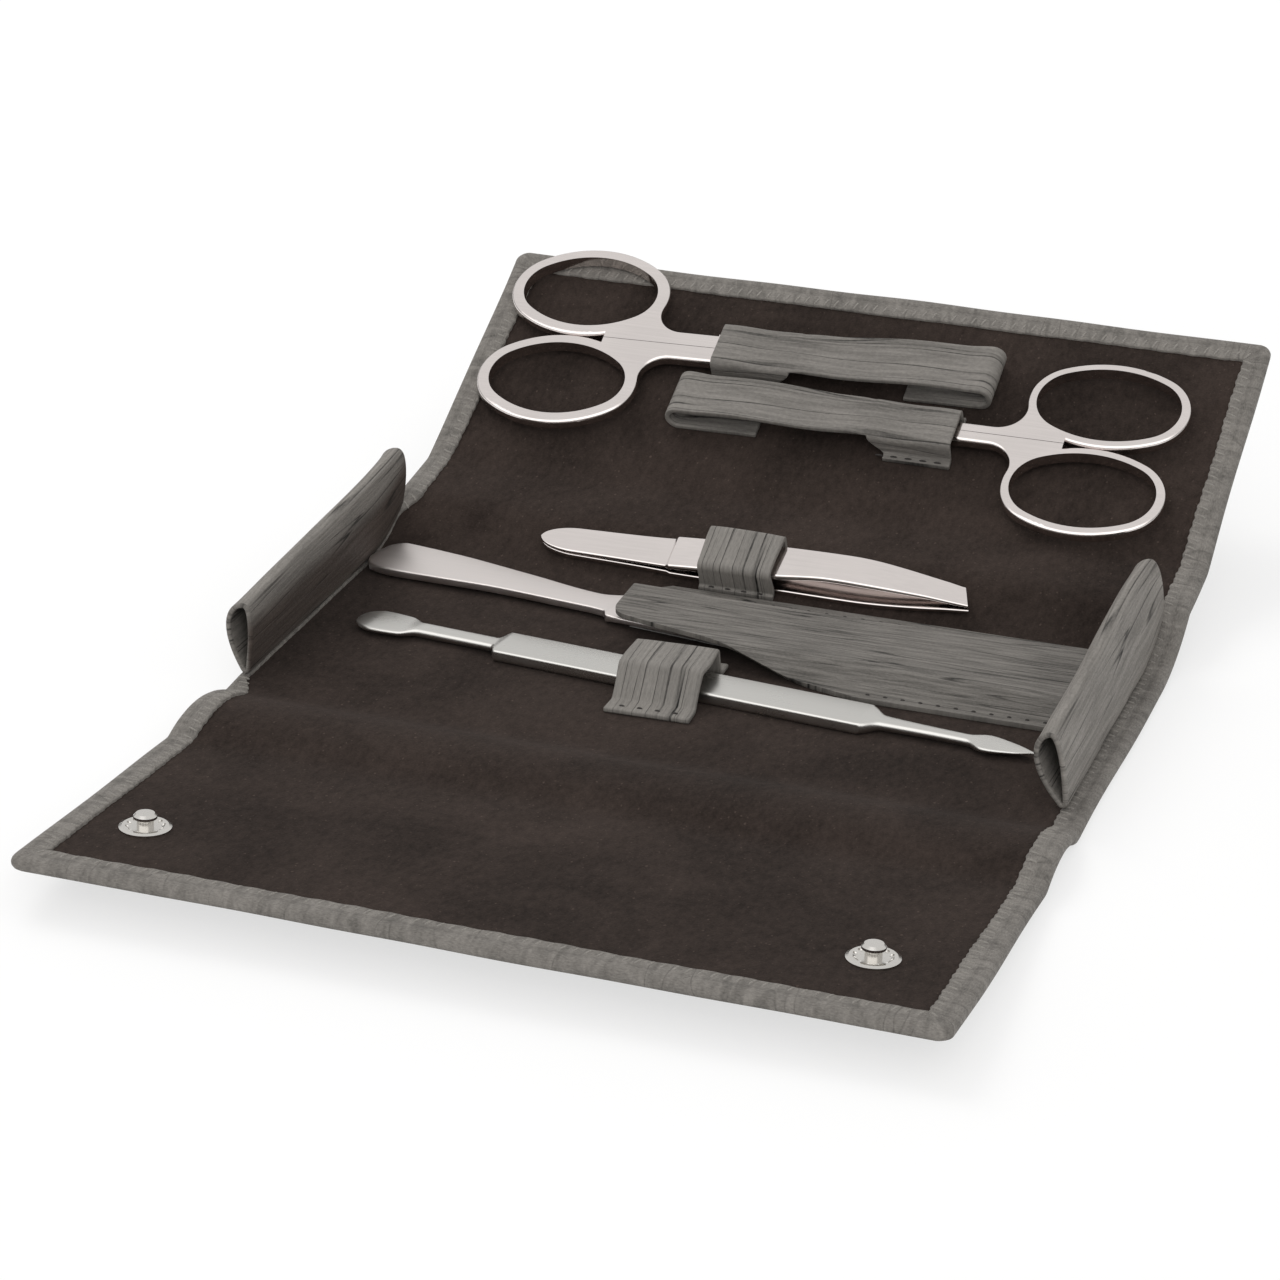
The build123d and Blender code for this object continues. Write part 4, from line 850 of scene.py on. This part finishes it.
# %% Shape the tweezers loop
tweezers_loop_x, tweezers_loop_width, tweezers_y, tweezers_width = -4.9, 13.8, 33.8, 7.3
tweezers_station = base_station(tweezers_y)
tweezers_slope = float(np.interp(ends[2] + tweezers_station, line_s, case_line[2]))
arch_side = tweezers_width / 2 + tool_gap + leather_thickness / 2
arch_foot = 1.1
arch_crown = above_base(tweezers_station, 6.9 - leather_thickness / 2)
arch_reach = arch_side * np.array([math.cos(tweezers_slope), math.sin(tweezers_slope)])
arch_feet = [
    above_base(tweezers_station + away, strap_middle)
    for away in (-arch_side - arch_foot, -arch_side, arch_side, arch_side + arch_foot)
]
arch_corners = [*arch_feet[:2], arch_crown - arch_reach, arch_crown + arch_reach, *arch_feet[2:]]
arch_seat = (tweezers_loop_x, tweezers_y)
arch_view = rounded_path(arch_corners, 0.8)
loop_strap("tweezers_loop_strap", arch_view, tweezers_loop_width, arch_seat, 0.0, "tweezers_loop")

# %% [markdown]
# ## File sleeve
# The sleeve is one wide strap, sewn along both long edges, with a flat roof over the file's blade. Its
# left end is cut at a slant in front and rounded behind, so every row of the grid starts at its own x.

# %% Shape the sleeve
sleeve_near_y, sleeve_far_y, sleeve_left, sleeve_right = -3.6, 27.5, -21.4, 65.6
sleeve_foot, sleeve_rise = 3.0, 6.5
sleeve_roof = 3.3 + leather_thickness / 2
sleeve_near, sleeve_far = base_station(sleeve_near_y), base_station(sleeve_far_y)
sleeve_corners = [
    (sleeve_near, strap_middle), (sleeve_near + sleeve_foot, strap_middle),
    (sleeve_near + sleeve_rise, sleeve_roof), (sleeve_far - sleeve_rise, sleeve_roof),
    (sleeve_far - sleeve_foot, strap_middle), (sleeve_far, strap_middle),
]
sleeve_view, sleeve_running = rounded_path([above_base(*point) for point in sleeve_corners], 2.4)
slant_foot_x, slant_end_y, cut_far_y = 27.0, 8.6, sleeve_far_y + 0.6
cut_corners = [
    (slant_foot_x, sleeve_near_y), (sleeve_left, slant_end_y), (sleeve_left, cut_far_y),
    (sleeve_right, cut_far_y),
]
sleeve_cut = rounded_path(cut_corners, (4.0, 8.0))[0]
sleeve_cut = sleeve_cut[sleeve_cut[:, 1] < sleeve_far_y + 0.55]
sleeve_start = np.interp(sleeve_view[:, 0], sleeve_cut[:, 1], sleeve_cut[:, 0])[:, None]
along_sleeve = np.linspace(0.0, 1.0, 110)[None, :] ** 1.15
sleeve_x = sleeve_start + (sleeve_right - sleeve_start) * along_sleeve
roof_share = np.clip((sleeve_view[:, 1] - lining_z - strap_middle) / (sleeve_roof - strap_middle), 0.0, 1.0)
sag = 0.22 * roof_share[:, None] * np.sin(sleeve_x * 0.07 + 0.6) * np.sin(sleeve_running[:, None] * 0.19)
sleeve_z = sleeve_view[:, 1:] + sag
sleeve_points = np.stack(np.broadcast_arrays(sleeve_x, sleeve_view[:, :1], sleeve_z), axis=-1)
sleeve_strip = np.stack(np.broadcast_arrays(sleeve_x, sleeve_running[:, None]), axis=-1)
sleeve = make_piece("sleeve_strap", [(sleeve_points, sleeve_strip, True)], sleeve_leather)
seat(thicken(sleeve, leather_thickness), "base", "file_sleeve")

# %% [markdown]
# ## Scissors sheaths
# Each sheath is cut like a T. The two arms of the T fold down beside the blades and are sewn to the
# cover, the stem runs on over the points, turns down and comes back underneath. So the grid has two
# parts: the tube with its wings, and the stem. They share one row, and from there on the section
# relaxes from bent to flat, as leather does past the end of its seam.

# %% Write the sheath
blade_lift, blades_thickness, roof_gap = 1.08, 2.4, 0.8
strap_roof = blade_lift + blades_thickness + roof_gap + leather_thickness / 2
strap_drop = strap_roof - strap_middle
wing_foot = 1.9


def wing_section(reach, half):
    """Half of the tube's section by running length from its middle: over, down the wing, out on the foot."""
    corners = [(0.0, 0.0), (half, 0.0), (half, -strap_drop), (half + wing_foot, -strap_drop)]
    path, running = rounded_path(corners, 1.0, 0.4)
    side = np.interp(np.abs(reach), running, path[:, 0]) * np.sign(reach)
    return side, np.interp(np.abs(reach), running, path[:, 1]), running[-1]


def sheath_strap(name, mouth_x, end_x, tab_x, tube, walls, end_walls, node):
    """Sheath on the cover from its mouth to its closed end. The walls are near and far stations on the
    cover along the tube, and at the closed end."""
    toward = math.copysign(1.0, end_x - mouth_x)
    tube_end = mouth_x + toward * tube
    bend = strap_drop / 2 * 0.96
    half = (walls[1] - walls[0]) / 2
    reach_end = wing_section(np.zeros(1), half)[2]
    stem = np.linspace(-half, half, 25)
    wing = np.linspace(half, reach_end, 17)[1:]
    reach = np.concatenate([-wing[::-1], stem, wing])

    def lay(x, height, reach, bent):
        """Points over the cover: the section is bent by a share, and its middle and width follow x."""
        side, down, _ = wing_section(reach, half)
        taper = [toward * tube_end, toward * end_x]
        near, far = (np.interp(toward * x, taper, pair) for pair in zip(walls, end_walls))
        s = (near + far) / 2 + bent * side + (1 - bent) * (reach * (far - near) / (2 * half))
        return on_case(x, ends[5] + s, lining_depth - height - bent * down)

    wing_share = np.clip((np.abs(reach) - half) / (reach_end - half), 0.0, 1.0)[None, :]
    tube_share = np.linspace(0.0, 1.0, 27)[:, None]
    tube_x = mouth_x + toward * tube * tube_share * (1 - 0.2 * between_smooth(wing_share, 0.0, 0.8))
    slack = 0.12 * np.sin(tube * tube_share * 0.5)
    tube_points = lay(tube_x, strap_roof + slack * (wing_share == 0), reach[None, :], 1.0)
    stem_corners = [
        (tube_end, strap_roof), (end_x, strap_roof), (end_x, strap_middle), (tab_x, strap_middle),
    ]
    stem_view, stem_running = rounded_path(stem_corners, bend, 0.6)
    on_top = stem_view[:, 1:] > strap_roof - 0.01
    relax = np.exp(-((stem_view[:, :1] - tube_end) * toward / 2.2) ** 2) * on_top
    stem_past = np.clip(stem_running[:, None] / 8.0, 0.0, 1.0)
    before_bend = between_smooth(toward * (end_x - stem_view[:, :1]), bend + 0.3, bend + 5.0)
    ripple = 0.35 * np.sin(stem_running[:, None] * 0.2 + 0.12 * stem[None, :])
    wave = ripple * stem_past * before_bend * on_top
    stem_points = lay(stem_view[:, :1], stem_view[:, 1:] - wave, stem[None, :], relax)
    stem_points[0] = tube_points[-1, len(wing):len(wing) + len(stem)]
    tube_strip = np.stack(np.broadcast_arrays(np.abs(tube_x - mouth_x), reach[None, :]), axis=-1)
    stem_strip = np.stack(np.broadcast_arrays(tube + stem_running[:, None], stem[None, :]), axis=-1)
    patches = [(tube_points, tube_strip, toward < 0), (stem_points, stem_strip, toward < 0)]
    seat(thicken(make_piece(name, patches, strap_leather), leather_thickness), "cover", node)


print("sheath's roof over the lining, mm:", round(strap_roof, 2))

# %% Fold the two sheaths
nail_walls, cuticle_walls = (29.35, 39.4), (16.45, 25.45)
sheath_strap(
    "nail_sheath_strap", -27.0, 27.0, 10.4, 15.6, nail_walls, (30.6, 42.4), "nail_scissors_sheath",
)
sheath_strap(
    "cuticle_sheath_strap", 23.5, -31.5, -14.4, 16.0, cuticle_walls, (15.6, 26.0), "cuticle_scissors_sheath",
)

# %% [markdown]
# ## End guards
# At each end of the base a strip of leather is folded double and sewn by its two edges, so that it
# stands up as a tube, wide near the top and pinched at the seam. Its section is a teardrop: the height
# is a cosine of the angle round it, and the width is a sine times a sine of half the angle, which
# moves the belly up to two thirds of the height. Both tubes lean their belly to the left, so that side
# is drawn fuller and the other nearly straight. The outer face is the inner one moved out by the
# leather's thickness, and the cut ends are rounded over. The left tube's wall that faces the case has
# painted shade, darker near the seam.

# %% Shape the guards
straight_side, full_side = 0.45, 1.55
guard_belly, guard_lift = 1.69, 0.32
guard_share = np.linspace(0.0, 1.0, 90)
guard_station = ends[2] + guard_start + guard_share * guard_length
guard_seam = on_case(0.0, guard_station, 0.0)


def guard_tube(name, side, root_x, lean, node):
    """Open teardrop tube along the base's end; rows run along it and columns round its section."""
    share = guard_share
    angle = np.linspace(0.0, 2 * math.pi, 73)
    along_top = (guard_seam[:, 1] - guard_seam[0, 1]) / np.ptp(guard_seam[:, 1])
    top_line = 16.1 + 2.8 * along_top + 0.12 * np.sin(share * 9 + side)
    height = top_line - guard_seam[:, 2] - guard_lift - 2 * leather_thickness
    flare = 1.0 + 0.22 * np.exp(-share / 0.05) + 0.3 * np.exp(-(1 - share) / 0.06)
    flare = flare + 0.05 * np.sin(share * 14)
    across = (guard_belly * flare)[:, None] * np.sin(angle) * np.sin(angle / 2)
    across = across * np.where(across > 0, straight_side, full_side)
    up = leather_thickness + height[:, None] * (1 - np.cos(angle)) / 2
    slope_x, slope_up = np.gradient(across, axis=1), np.gradient(up, axis=1)
    size = np.hypot(slope_x, slope_up) + 1e-12
    fan = np.linspace(math.pi, 2 * math.pi, 11)
    section = []
    for foot, wall in (
        (0.0 * fan, across), (0.0 * fan + leather_thickness, up),
        (np.cos(fan), slope_up / size), (np.sin(fan), -slope_x / size),
    ):
        foot = np.broadcast_to(foot, (len(share), len(fan)))
        section.append(np.concatenate([foot, wall[:, 2:-2], foot[:, :1]], axis=1))
    tilt = math.radians(lean) * -side

    def lay(rows, out, ahead=0.0):
        """Points at given rows of the tube, moved out along the section's normal and ahead along it."""
        section_x = section[0][rows] + out * section[2][rows]
        section_up = section[1][rows] + out * section[3][rows]
        y = np.broadcast_to((guard_seam[rows, 1] + ahead)[:, None], section_x.shape)
        x = side * root_x + section_x * math.cos(tilt) + section_up * math.sin(tilt)
        z = guard_seam[rows, 2][:, None] + guard_lift
        z = z - section_x * math.sin(tilt) + section_up * math.cos(tilt)
        return np.stack([x, y, z], axis=-1)

    every = np.arange(len(share))
    around = np.linspace(0.0, 30.0, section[0].shape[1])
    strip = np.stack(np.broadcast_arrays(share[:, None] * guard_length, around[None, :]), axis=-1)
    patches = [(lay(every, leather_thickness), strip, False), (lay(every, 0.0), strip + (0, 40.0), True)]
    round_over = np.linspace(0.0, math.pi, 9)
    for row, sign in ((0, -1), (-1, 1)):
        rows = np.full(len(round_over), every[row])
        out = leather_thickness * (1 + np.cos(round_over)) / 2
        rim = lay(rows, out[:, None], sign * 0.42 * np.sin(round_over))
        rim_strip = np.stack(np.broadcast_arrays(out[:, None] + 80.0, around[None, :]), axis=-1)
        patches.append((rim, rim_strip, sign < 0))
    piece = make_piece(name, patches, guard_leather, merge=0.002, crease=120.0)
    # Painted shade: the left tube's wall that faces the case is darkened below 12.5 mm over its seam.
    place = np.empty(len(piece.data.vertices) * 3)
    piece.data.vertices.foreach_get("co", place)
    place = place.reshape(-1, 3) / MM
    along = np.clip(place[:, 1] - guard_front, 0, guard_length)
    low = between_smooth(place[:, 2] - on_case(0.0, ends[2] + guard_start + along, 0.0)[:, 2], 12.5, 8.0)
    inner = between_smooth(place[:, 0] - side * root_x, 0.3, 1.1) * (side < 0)
    shade = piece.data.attributes.new("painted_inner_shade", "FLOAT", "POINT")
    shade.data.foreach_set("value", (0.95 * low * inner).astype(np.float32))
    seat(piece, node, node)


guard_tube("left_guard_tube", -1, 73.6, 0.0, "left_guard")
guard_tube("right_guard_tube", 1, 70.6, 13.0, "right_guard")

# %% [markdown]
# ## Stitches
# The hem is whipped down near its inner edge with a yarn of the leather's colour, so that its stitches
# show as close slanted ribs; the left guard hides them. The straps' feet have stitches further apart,
# drawn near black as painted shade of their sunken stitch holes. One stitch is a short thread that
# comes out of the leather, rises a little and goes back in: seven rings of six points, and a whole row
# of them is one mesh.

# %% Write the stitch helpers
def sew(name, centres, along, normals, length, radius, rise, yarn):
    """Row of stitches in mm from the centre, direction and surface normal of each."""
    share = np.linspace(-1.0, 1.0, 7)
    around = np.linspace(0.0, 2 * math.pi, 7)[:-1, None]
    aside = np.cross(normals, along)
    thick = radius * np.sqrt(np.clip(1.0 - 0.75 * share**4, 0.05, 1.0))
    spine = centres[:, None] + along[:, None] * (length / 2 * share)[None, :, None]
    spine = spine + normals[:, None] * (rise * (1 - share**2) - 0.06)[None, :, None]
    ring = aside[:, None, None] * np.cos(around) + normals[:, None, None] * np.sin(around)
    points = spine[:, :, None] + ring * thick[None, :, None, None]
    count, rings, sides = points.shape[:3]
    ring_index, side_index = np.meshgrid(np.arange(rings - 1) * sides, np.arange(sides), indexing="ij")
    here, after = ring_index + side_index, ring_index + (side_index + 1) % sides
    quads = np.stack([here, after, after + sides, here + sides], axis=-1).reshape(-1, 4)
    caps = np.stack([np.arange(sides)[::-1], (rings - 1) * sides + np.arange(sides)])
    starts = (np.arange(count) * rings * sides)[:, None, None]
    faces = (starts + quads).reshape(-1, 4).tolist() + (starts + caps).reshape(-1, sides).tolist()
    mesh = bpy.data.meshes.new(name)
    mesh.from_pydata((points.reshape(-1, 3) * MM).tolist(), [], faces)
    mesh.polygons.foreach_set("use_smooth", [True] * len(mesh.polygons))
    mesh.materials.append(yarn)
    row = bpy.data.objects.new(name, mesh)
    bpy.context.scene.collection.objects.link(row)
    return row


def along_line(line, pitch):
    """Centres and directions at an even pitch along a dense line of 3-D points."""
    running = np.concatenate([[0.0], np.cumsum(np.linalg.norm(np.diff(line, axis=0), axis=1))])
    marks = np.arange(pitch / 2, running[-1] - pitch / 4, pitch)
    centres, ahead, behind = (
        np.stack([np.interp(marks + away, running, line[:, axis]) for axis in range(3)], axis=1)
        for away in (0.0, 0.3, -0.3)
    )
    return centres, (ahead - behind) / np.linalg.norm(ahead - behind, axis=1)[:, None]


def panel_normal(points):
    """Upward normal of the case's side view at points near its surface, found by y."""
    angle = np.interp(points[:, 1], case_line[0], case_line[2])
    return np.stack([np.zeros_like(angle), -np.sin(angle), np.cos(angle)], axis=1)


print("stitch helpers:", sew.__name__, along_line.__name__, panel_normal.__name__)

# %% Sew the hem
hem_seam_share, hem_pitch, hem_slant = 0.76, 1.95, 0.34
for zone, (index, *_) in zones.items():
    rows = []
    for outer, inner, _ in outline_of(*section_ends[index:index + 2], index == 0, index == 3):
        plan = outer + (inner - outer) * hem_seam_share
        rows.append(along_line(on_case(plan[:, 0], plan[:, 1], 0.06), hem_pitch))
    centres, along = (np.concatenate(parts) for parts in zip(*rows))
    beside = np.abs(centres[:, 1] - guard_front - guard_length / 2) < guard_length / 2
    kept = ~((centres[:, 0] < -60) & beside)
    centres, along = centres[kept], along[kept]
    normals = panel_normal(centres)
    slant = hem_slant * along + np.cross(normals, along)
    slant /= np.linalg.norm(slant, axis=1)[:, None]
    row = sew(f"{zone}_stitches", centres, slant, normals, 2.0, 0.27, 0.05, thread)
    bend_with_fold(row, zone)
    print(row.name, "count:", len(centres))


# %% Sew the straps' feet
def foot_row(name, seam, count, body, length=1.0):
    """Stitches between the two ends of a seam on a strap's foot."""
    first, last = np.asarray(seam)
    centres = first + (last - first) * ((np.arange(count) + 0.5) / count)[:, None]
    along = np.repeat([(last - first) / np.linalg.norm(last - first)], count, axis=0)
    # Painted shade: the near-black yarn stands for the shade in the stitch holes.
    row = sew(name, centres, along, panel_normal(centres), length, 0.2, 0.1, painted_hole_shade)
    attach(row, body)


top_of_foot = strap_middle + leather_thickness / 2


def seam_at(station, *ends_x):
    """Ends of a seam along x on top of a foot, at a station of the side view."""
    return [on_case(x, station, lining_depth - top_of_foot) for x in ends_x]


cosine, sine = math.cos(pusher_loop_turn), math.sin(pusher_loop_turn)
foot_v = 1.5 - loop_spread
foot_u = pusher_loop_width / 2 - 1.2
pusher_seam = [
    (
        pusher_loop_x + x * cosine - foot_v * sine, pusher_loop_y + x * sine + foot_v * cosine,
        lining_z + top_of_foot,
    )
    for x in (-foot_u, foot_u)
]
arch_seam = ends[2] + tweezers_station - arch_side - 0.75
foot_row("pusher_loop_stitches", pusher_seam, 4, "base")
foot_row("tweezers_loop_stitches", seam_at(arch_seam, -11.0, 1.2), 4, "base", 1.2)
foot_row("sleeve_near_stitches", seam_at(ends[2] + sleeve_near + 1.5, 27.5, 64.8), 12, "base", 0.8)
foot_row("sleeve_far_stitches", seam_at(ends[2] + sleeve_far - 1.5, -12.0, 64.8), 23, "base", 0.8)
foot_row("cuticle_sheath_stitches", seam_at(ends[5] + cuticle_walls[0] - 1.25, 8.6, 22.6), 5, "cover", 1.4)
foot_row("nail_sheath_stitches", seam_at(ends[5] + nail_walls[0] - 1.25, -26.2, -12.4), 5, "cover", 1.4)

# %% [markdown]
# ## Ground steel bars
# The file, the pusher and the tweezers' arms are bars of steel, ground to an outline and rounded along
# their edges. One surface fits them all. Its rows run along the bar and its columns go round a section
# with four rounded corners: the outline gives the section's left and right, the side view its top and
# bottom. Both are drawn through a few real measures by a curve that never overshoots them.

# %% Write the bar surface
def smooth_through(u, *keys):
    """Curve at u through (u, value) keys: cubic between them, level at a peak, so it never overshoots."""
    keys = np.array(keys, float)
    gap = np.diff(keys[:, 0])
    rise = np.diff(keys[:, 1]) / gap
    slope = np.zeros(len(keys))
    same = rise[:-1] * rise[1:] > 0
    slope[1:-1][same] = 2 * rise[:-1][same] * rise[1:][same] / (rise[:-1][same] + rise[1:][same])
    slope[0], slope[-1] = rise[0], rise[-1]
    cell = np.clip(np.searchsorted(keys[:, 0], u) - 1, 0, len(gap) - 1)
    t = np.clip((u - keys[cell, 0]) / gap[cell], 0.0, 1.0)
    low, high = keys[cell, 1], keys[cell + 1, 1]
    return (
        (1 + 2 * t) * (1 - t) ** 2 * low + t * (1 - t) ** 2 * gap[cell] * slope[cell]
        + t**2 * (3 - 2 * t) * high - t**2 * (1 - t) * gap[cell] * slope[cell + 1]
    )


def round_end(u, start, size):
    """Quarter ellipse from zero at start to one, size further on."""
    return np.sqrt(np.clip(1 - np.clip(1 - (u - start) / size, 0, 1) ** 2, 0, 1))


def bar(u, left, right, top, bottom, edge, slant=0.0):
    """Surface of a bar from its outline and side view at stations u; edge is the corner's rounding."""
    middle, half = (left + right) / 2, np.maximum((left - right) / 2, 0.01)
    level, thick = (top + bottom) / 2, np.maximum((top - bottom) / 2, 0.01)
    radius = np.minimum(edge, 0.98 * np.minimum(half, thick))
    around = np.linspace(0.0, math.pi / 2, 6)
    turns = np.concatenate([around + quarter * math.pi / 2 for quarter in range(4)])
    side = np.repeat([1.0, -1.0, -1.0, 1.0], 6)
    over = np.repeat([1.0, 1.0, -1.0, -1.0], 6)
    v = middle[:, None] + side * (half - radius)[:, None] + radius[:, None] * np.cos(turns)
    z = level[:, None] + over * (thick - radius)[:, None] + radius[:, None] * np.sin(turns)
    v = np.concatenate([v, v[:, :1]], axis=1)
    z = np.concatenate([z, z[:, :1]], axis=1)
    along = np.broadcast_to(u[:, None], v.shape) + slant * between_smooth(u, u[-1] - 4, u[-1])[:, None] * v
    return np.stack([along, v, z], axis=-1)


def build_bar(name, points, place, body, node, finish):
    """Mesh of a bar laid in the case's frame by place and closed at both ends, seated on its body."""
    columns = points.shape[1]
    around = np.linspace(0, 20, columns)
    strip = np.stack(np.broadcast_arrays(points[..., 0], around), axis=-1)
    patches = [(place(points), strip, True)]
    for end, order in ((points[:1], (1, 0)), (points[-1:], (0, 1))):
        middle = np.broadcast_to(end.mean(axis=1, keepdims=True), end.shape)
        cap = np.concatenate([(end, middle)[part] for part in order])
        patches.append((place(cap), np.zeros((2, columns, 2)), True))
    piece = seat(make_piece(name, patches, finish, merge=0.003, crease=60.0), body, node)
    pair = (piece, frame["nodes"][node])
    new, old = (np.array([vertex.co for vertex in item.data.vertices]) for item in pair)
    gaps = [np.round((new.min(0) - old.min(0)) / MM, 2), np.round((new.max(0) - old.max(0)) / MM, 2)]
    print(name, "box against the model, mm:", *gaps)


print("bar surface:", bar.__name__, "through", smooth_through.__name__)

# %% [markdown]
# ## Pusher, file and tweezers
# The pusher is a flat body with two round necks: a rounded paddle on one and a spear on the other. The
# file's handle swells to a round end, narrows to a waist and widens at a shoulder before the blade.
# The tweezers are two sprung arms, one over the other, with one rounded end and a slanted tip. The
# upper arm steps up where it leaves the rounded end, and its near edge stands back from the lower one.

# %% Shape the pusher
def turned_place(x, y, z, heading, roll=0.0):
    """Place of a bar that lies at a point, turned about the vertical and rolled about its length."""
    c, s = math.cos(heading), math.sin(heading)
    cr, sr = math.cos(roll), math.sin(roll)

    def place(points):
        """Rolled about the length first, then turned and moved."""
        u, v, w = np.moveaxis(points, -1, 0)
        v, w = v * cr - w * sr, v * sr + w * cr
        return np.stack([x + u * c - v * s, y + u * s + v * c, z + w], axis=-1)

    return place


u = np.concatenate([np.linspace(0.0, 4.0, 22), np.linspace(4.3, 126.4, 300)])
half = round_end(u, -0.05, 4.2) * smooth_through(
    u, (0, 3.9), (4.2, 3.9), (9.2, 3.5), (12.4, 1.75), (27.0, 1.7), (28.4, 4.1), (96.0, 4.1), (99.6, 1.7),
    (114.4, 1.2), (117.8, 2.7), (122.5, 1.7), (126.4, 0.05),
)
thick = smooth_through(
    u, (0, 0.4), (3.7, 1.0), (9.5, 1.1), (13.0, 1.9), (27.3, 1.9), (28.4, 2.3), (96.0, 2.3), (100.0, 1.9),
    (114.4, 1.8), (117.8, 1.1), (126.4, 0.3),
)
edge = np.where((u > 28.2) & (u < 96.5), 0.55, 0.9)
build_bar(
    "pusher_steel", bar(u, half, -half, 1.15 + thick / 2, 1.15 - thick / 2, edge),
    turned_place(pusher_x, pusher_y, lining_z + 0.1, pusher_turn),
    "cuticle_pusher", "cuticle_pusher", satin_steel,
)

# %% Shape the file
file_x, file_y, file_turn, file_roll = -69.8, 21.1, math.radians(-6.72), math.radians(3.4)
file_level = above_base(base_station(file_y), 0.8)[1]
u = np.concatenate([np.linspace(-2.2, 2.0, 24), np.linspace(2.3, 110.6, 280)])
far_edge = smooth_through(
    u, (-2.2, -1.5), (-1.8, 1.5), (-0.6, 4.4), (1.8, 5.9), (12.0, 5.6), (28.0, 4.0), (43.0, 2.4), (46.5, 3.2),
    (48.6, 4.6), (86.6, 4.6), (102.0, 3.9), (108.0, 2.4), (110.6, 0.1),
)
near_edge = smooth_through(
    u, (-2.2, -1.6), (-1.9, -2.9), (-0.6, -4.2), (3.0, -4.8), (12.0, -4.1), (26.0, -3.0), (42.8, -2.9),
    (46.4, -3.2), (47.4, -4.6), (86.6, -4.6), (102.0, -3.9), (108.0, -2.4), (110.6, -0.1),
)
thick = smooth_through(u, (-2.2, 1.6), (47.2, 1.6), (50.6, 1.0), (110.6, 1.0))
edge = np.where(u < 49, 0.36, 0.2)
build_bar(
    "file_steel", bar(u, far_edge, near_edge, 0.8 + thick / 2, 0.8 - thick / 2, edge),
    turned_place(file_x, file_y, file_level, file_turn, file_roll), "nail_file", "nail_file", brushed_steel,
)

# %% Shape the tweezers
tweezers_x, tweezers_lift = -43.9, 0.42
tweezers_seat = on_case(tweezers_x, ends[2] + tweezers_station, lining_depth - tweezers_lift)


def tweezers_place(points):
    """Lays an arm in the tweezers' own frame, which leans with the bend of the base."""
    u, v, w = np.moveaxis(points, -1, 0)
    c, s = math.cos(tweezers_slope), math.sin(tweezers_slope)
    return np.stack([u, v * c - w * s, v * s + w * c], axis=-1) + tweezers_seat


u = np.concatenate([
    np.linspace(0.0, 7.0, 30), np.linspace(7.3, 25.0, 50), np.linspace(25.1, 26.1, 12),
    np.linspace(26.4, 80.6, 160),
])
half = smooth_through(u, (0, 2.75), (7.0, 2.9), (25.0, 3.35), (26.0, 3.65), (59.6, 3.65), (80.6, 2.2))
half = half * round_end(u, -0.02, 7.0)
upper_bottom = smooth_through(u, (0, 1.25), (4.0, 1.25), (25.6, 1.93), (58.0, 3.75), (80.6, 1.75))
upper_top = smooth_through(u, (0, 1.9), (4.0, 2.1), (25.1, 2.62), (25.9, 3.12), (58.0, 4.9), (80.6, 2.45))
lower_bottom = smooth_through(u, (0, 0.25), (4.0, 0.0), (64.5, 0.0), (80.6, 0.5))
lower_top = smooth_through(u, (0, 1.1), (4.0, 1.15), (64.5, 1.15), (80.6, 1.25))
set_back = smooth_through(u, (0, 0.0), (44, 0.0), (56, 0.9), (72, 0.7), (80.6, 0.1))
set_out = smooth_through(u, (0, 0.0), (30, -0.1), (56, -0.4), (72, -0.3), (80.6, 0.0))
for arm, shift, top, bottom, edge, body in (
    ("upper", set_back, upper_top, upper_bottom, 0.5, "tweezers_upper"),
    ("lower", set_out, lower_top, lower_bottom, 0.3, "tweezers"),
):
    arm_points = bar(u, half, shift - half, top, bottom, edge, slant=-0.35)
    arm_node = f"tweezers_{arm}_arm"
    build_bar(f"tweezers_{arm}_steel", arm_points, tweezers_place, body, arm_node, polished_steel)

# %% [markdown]
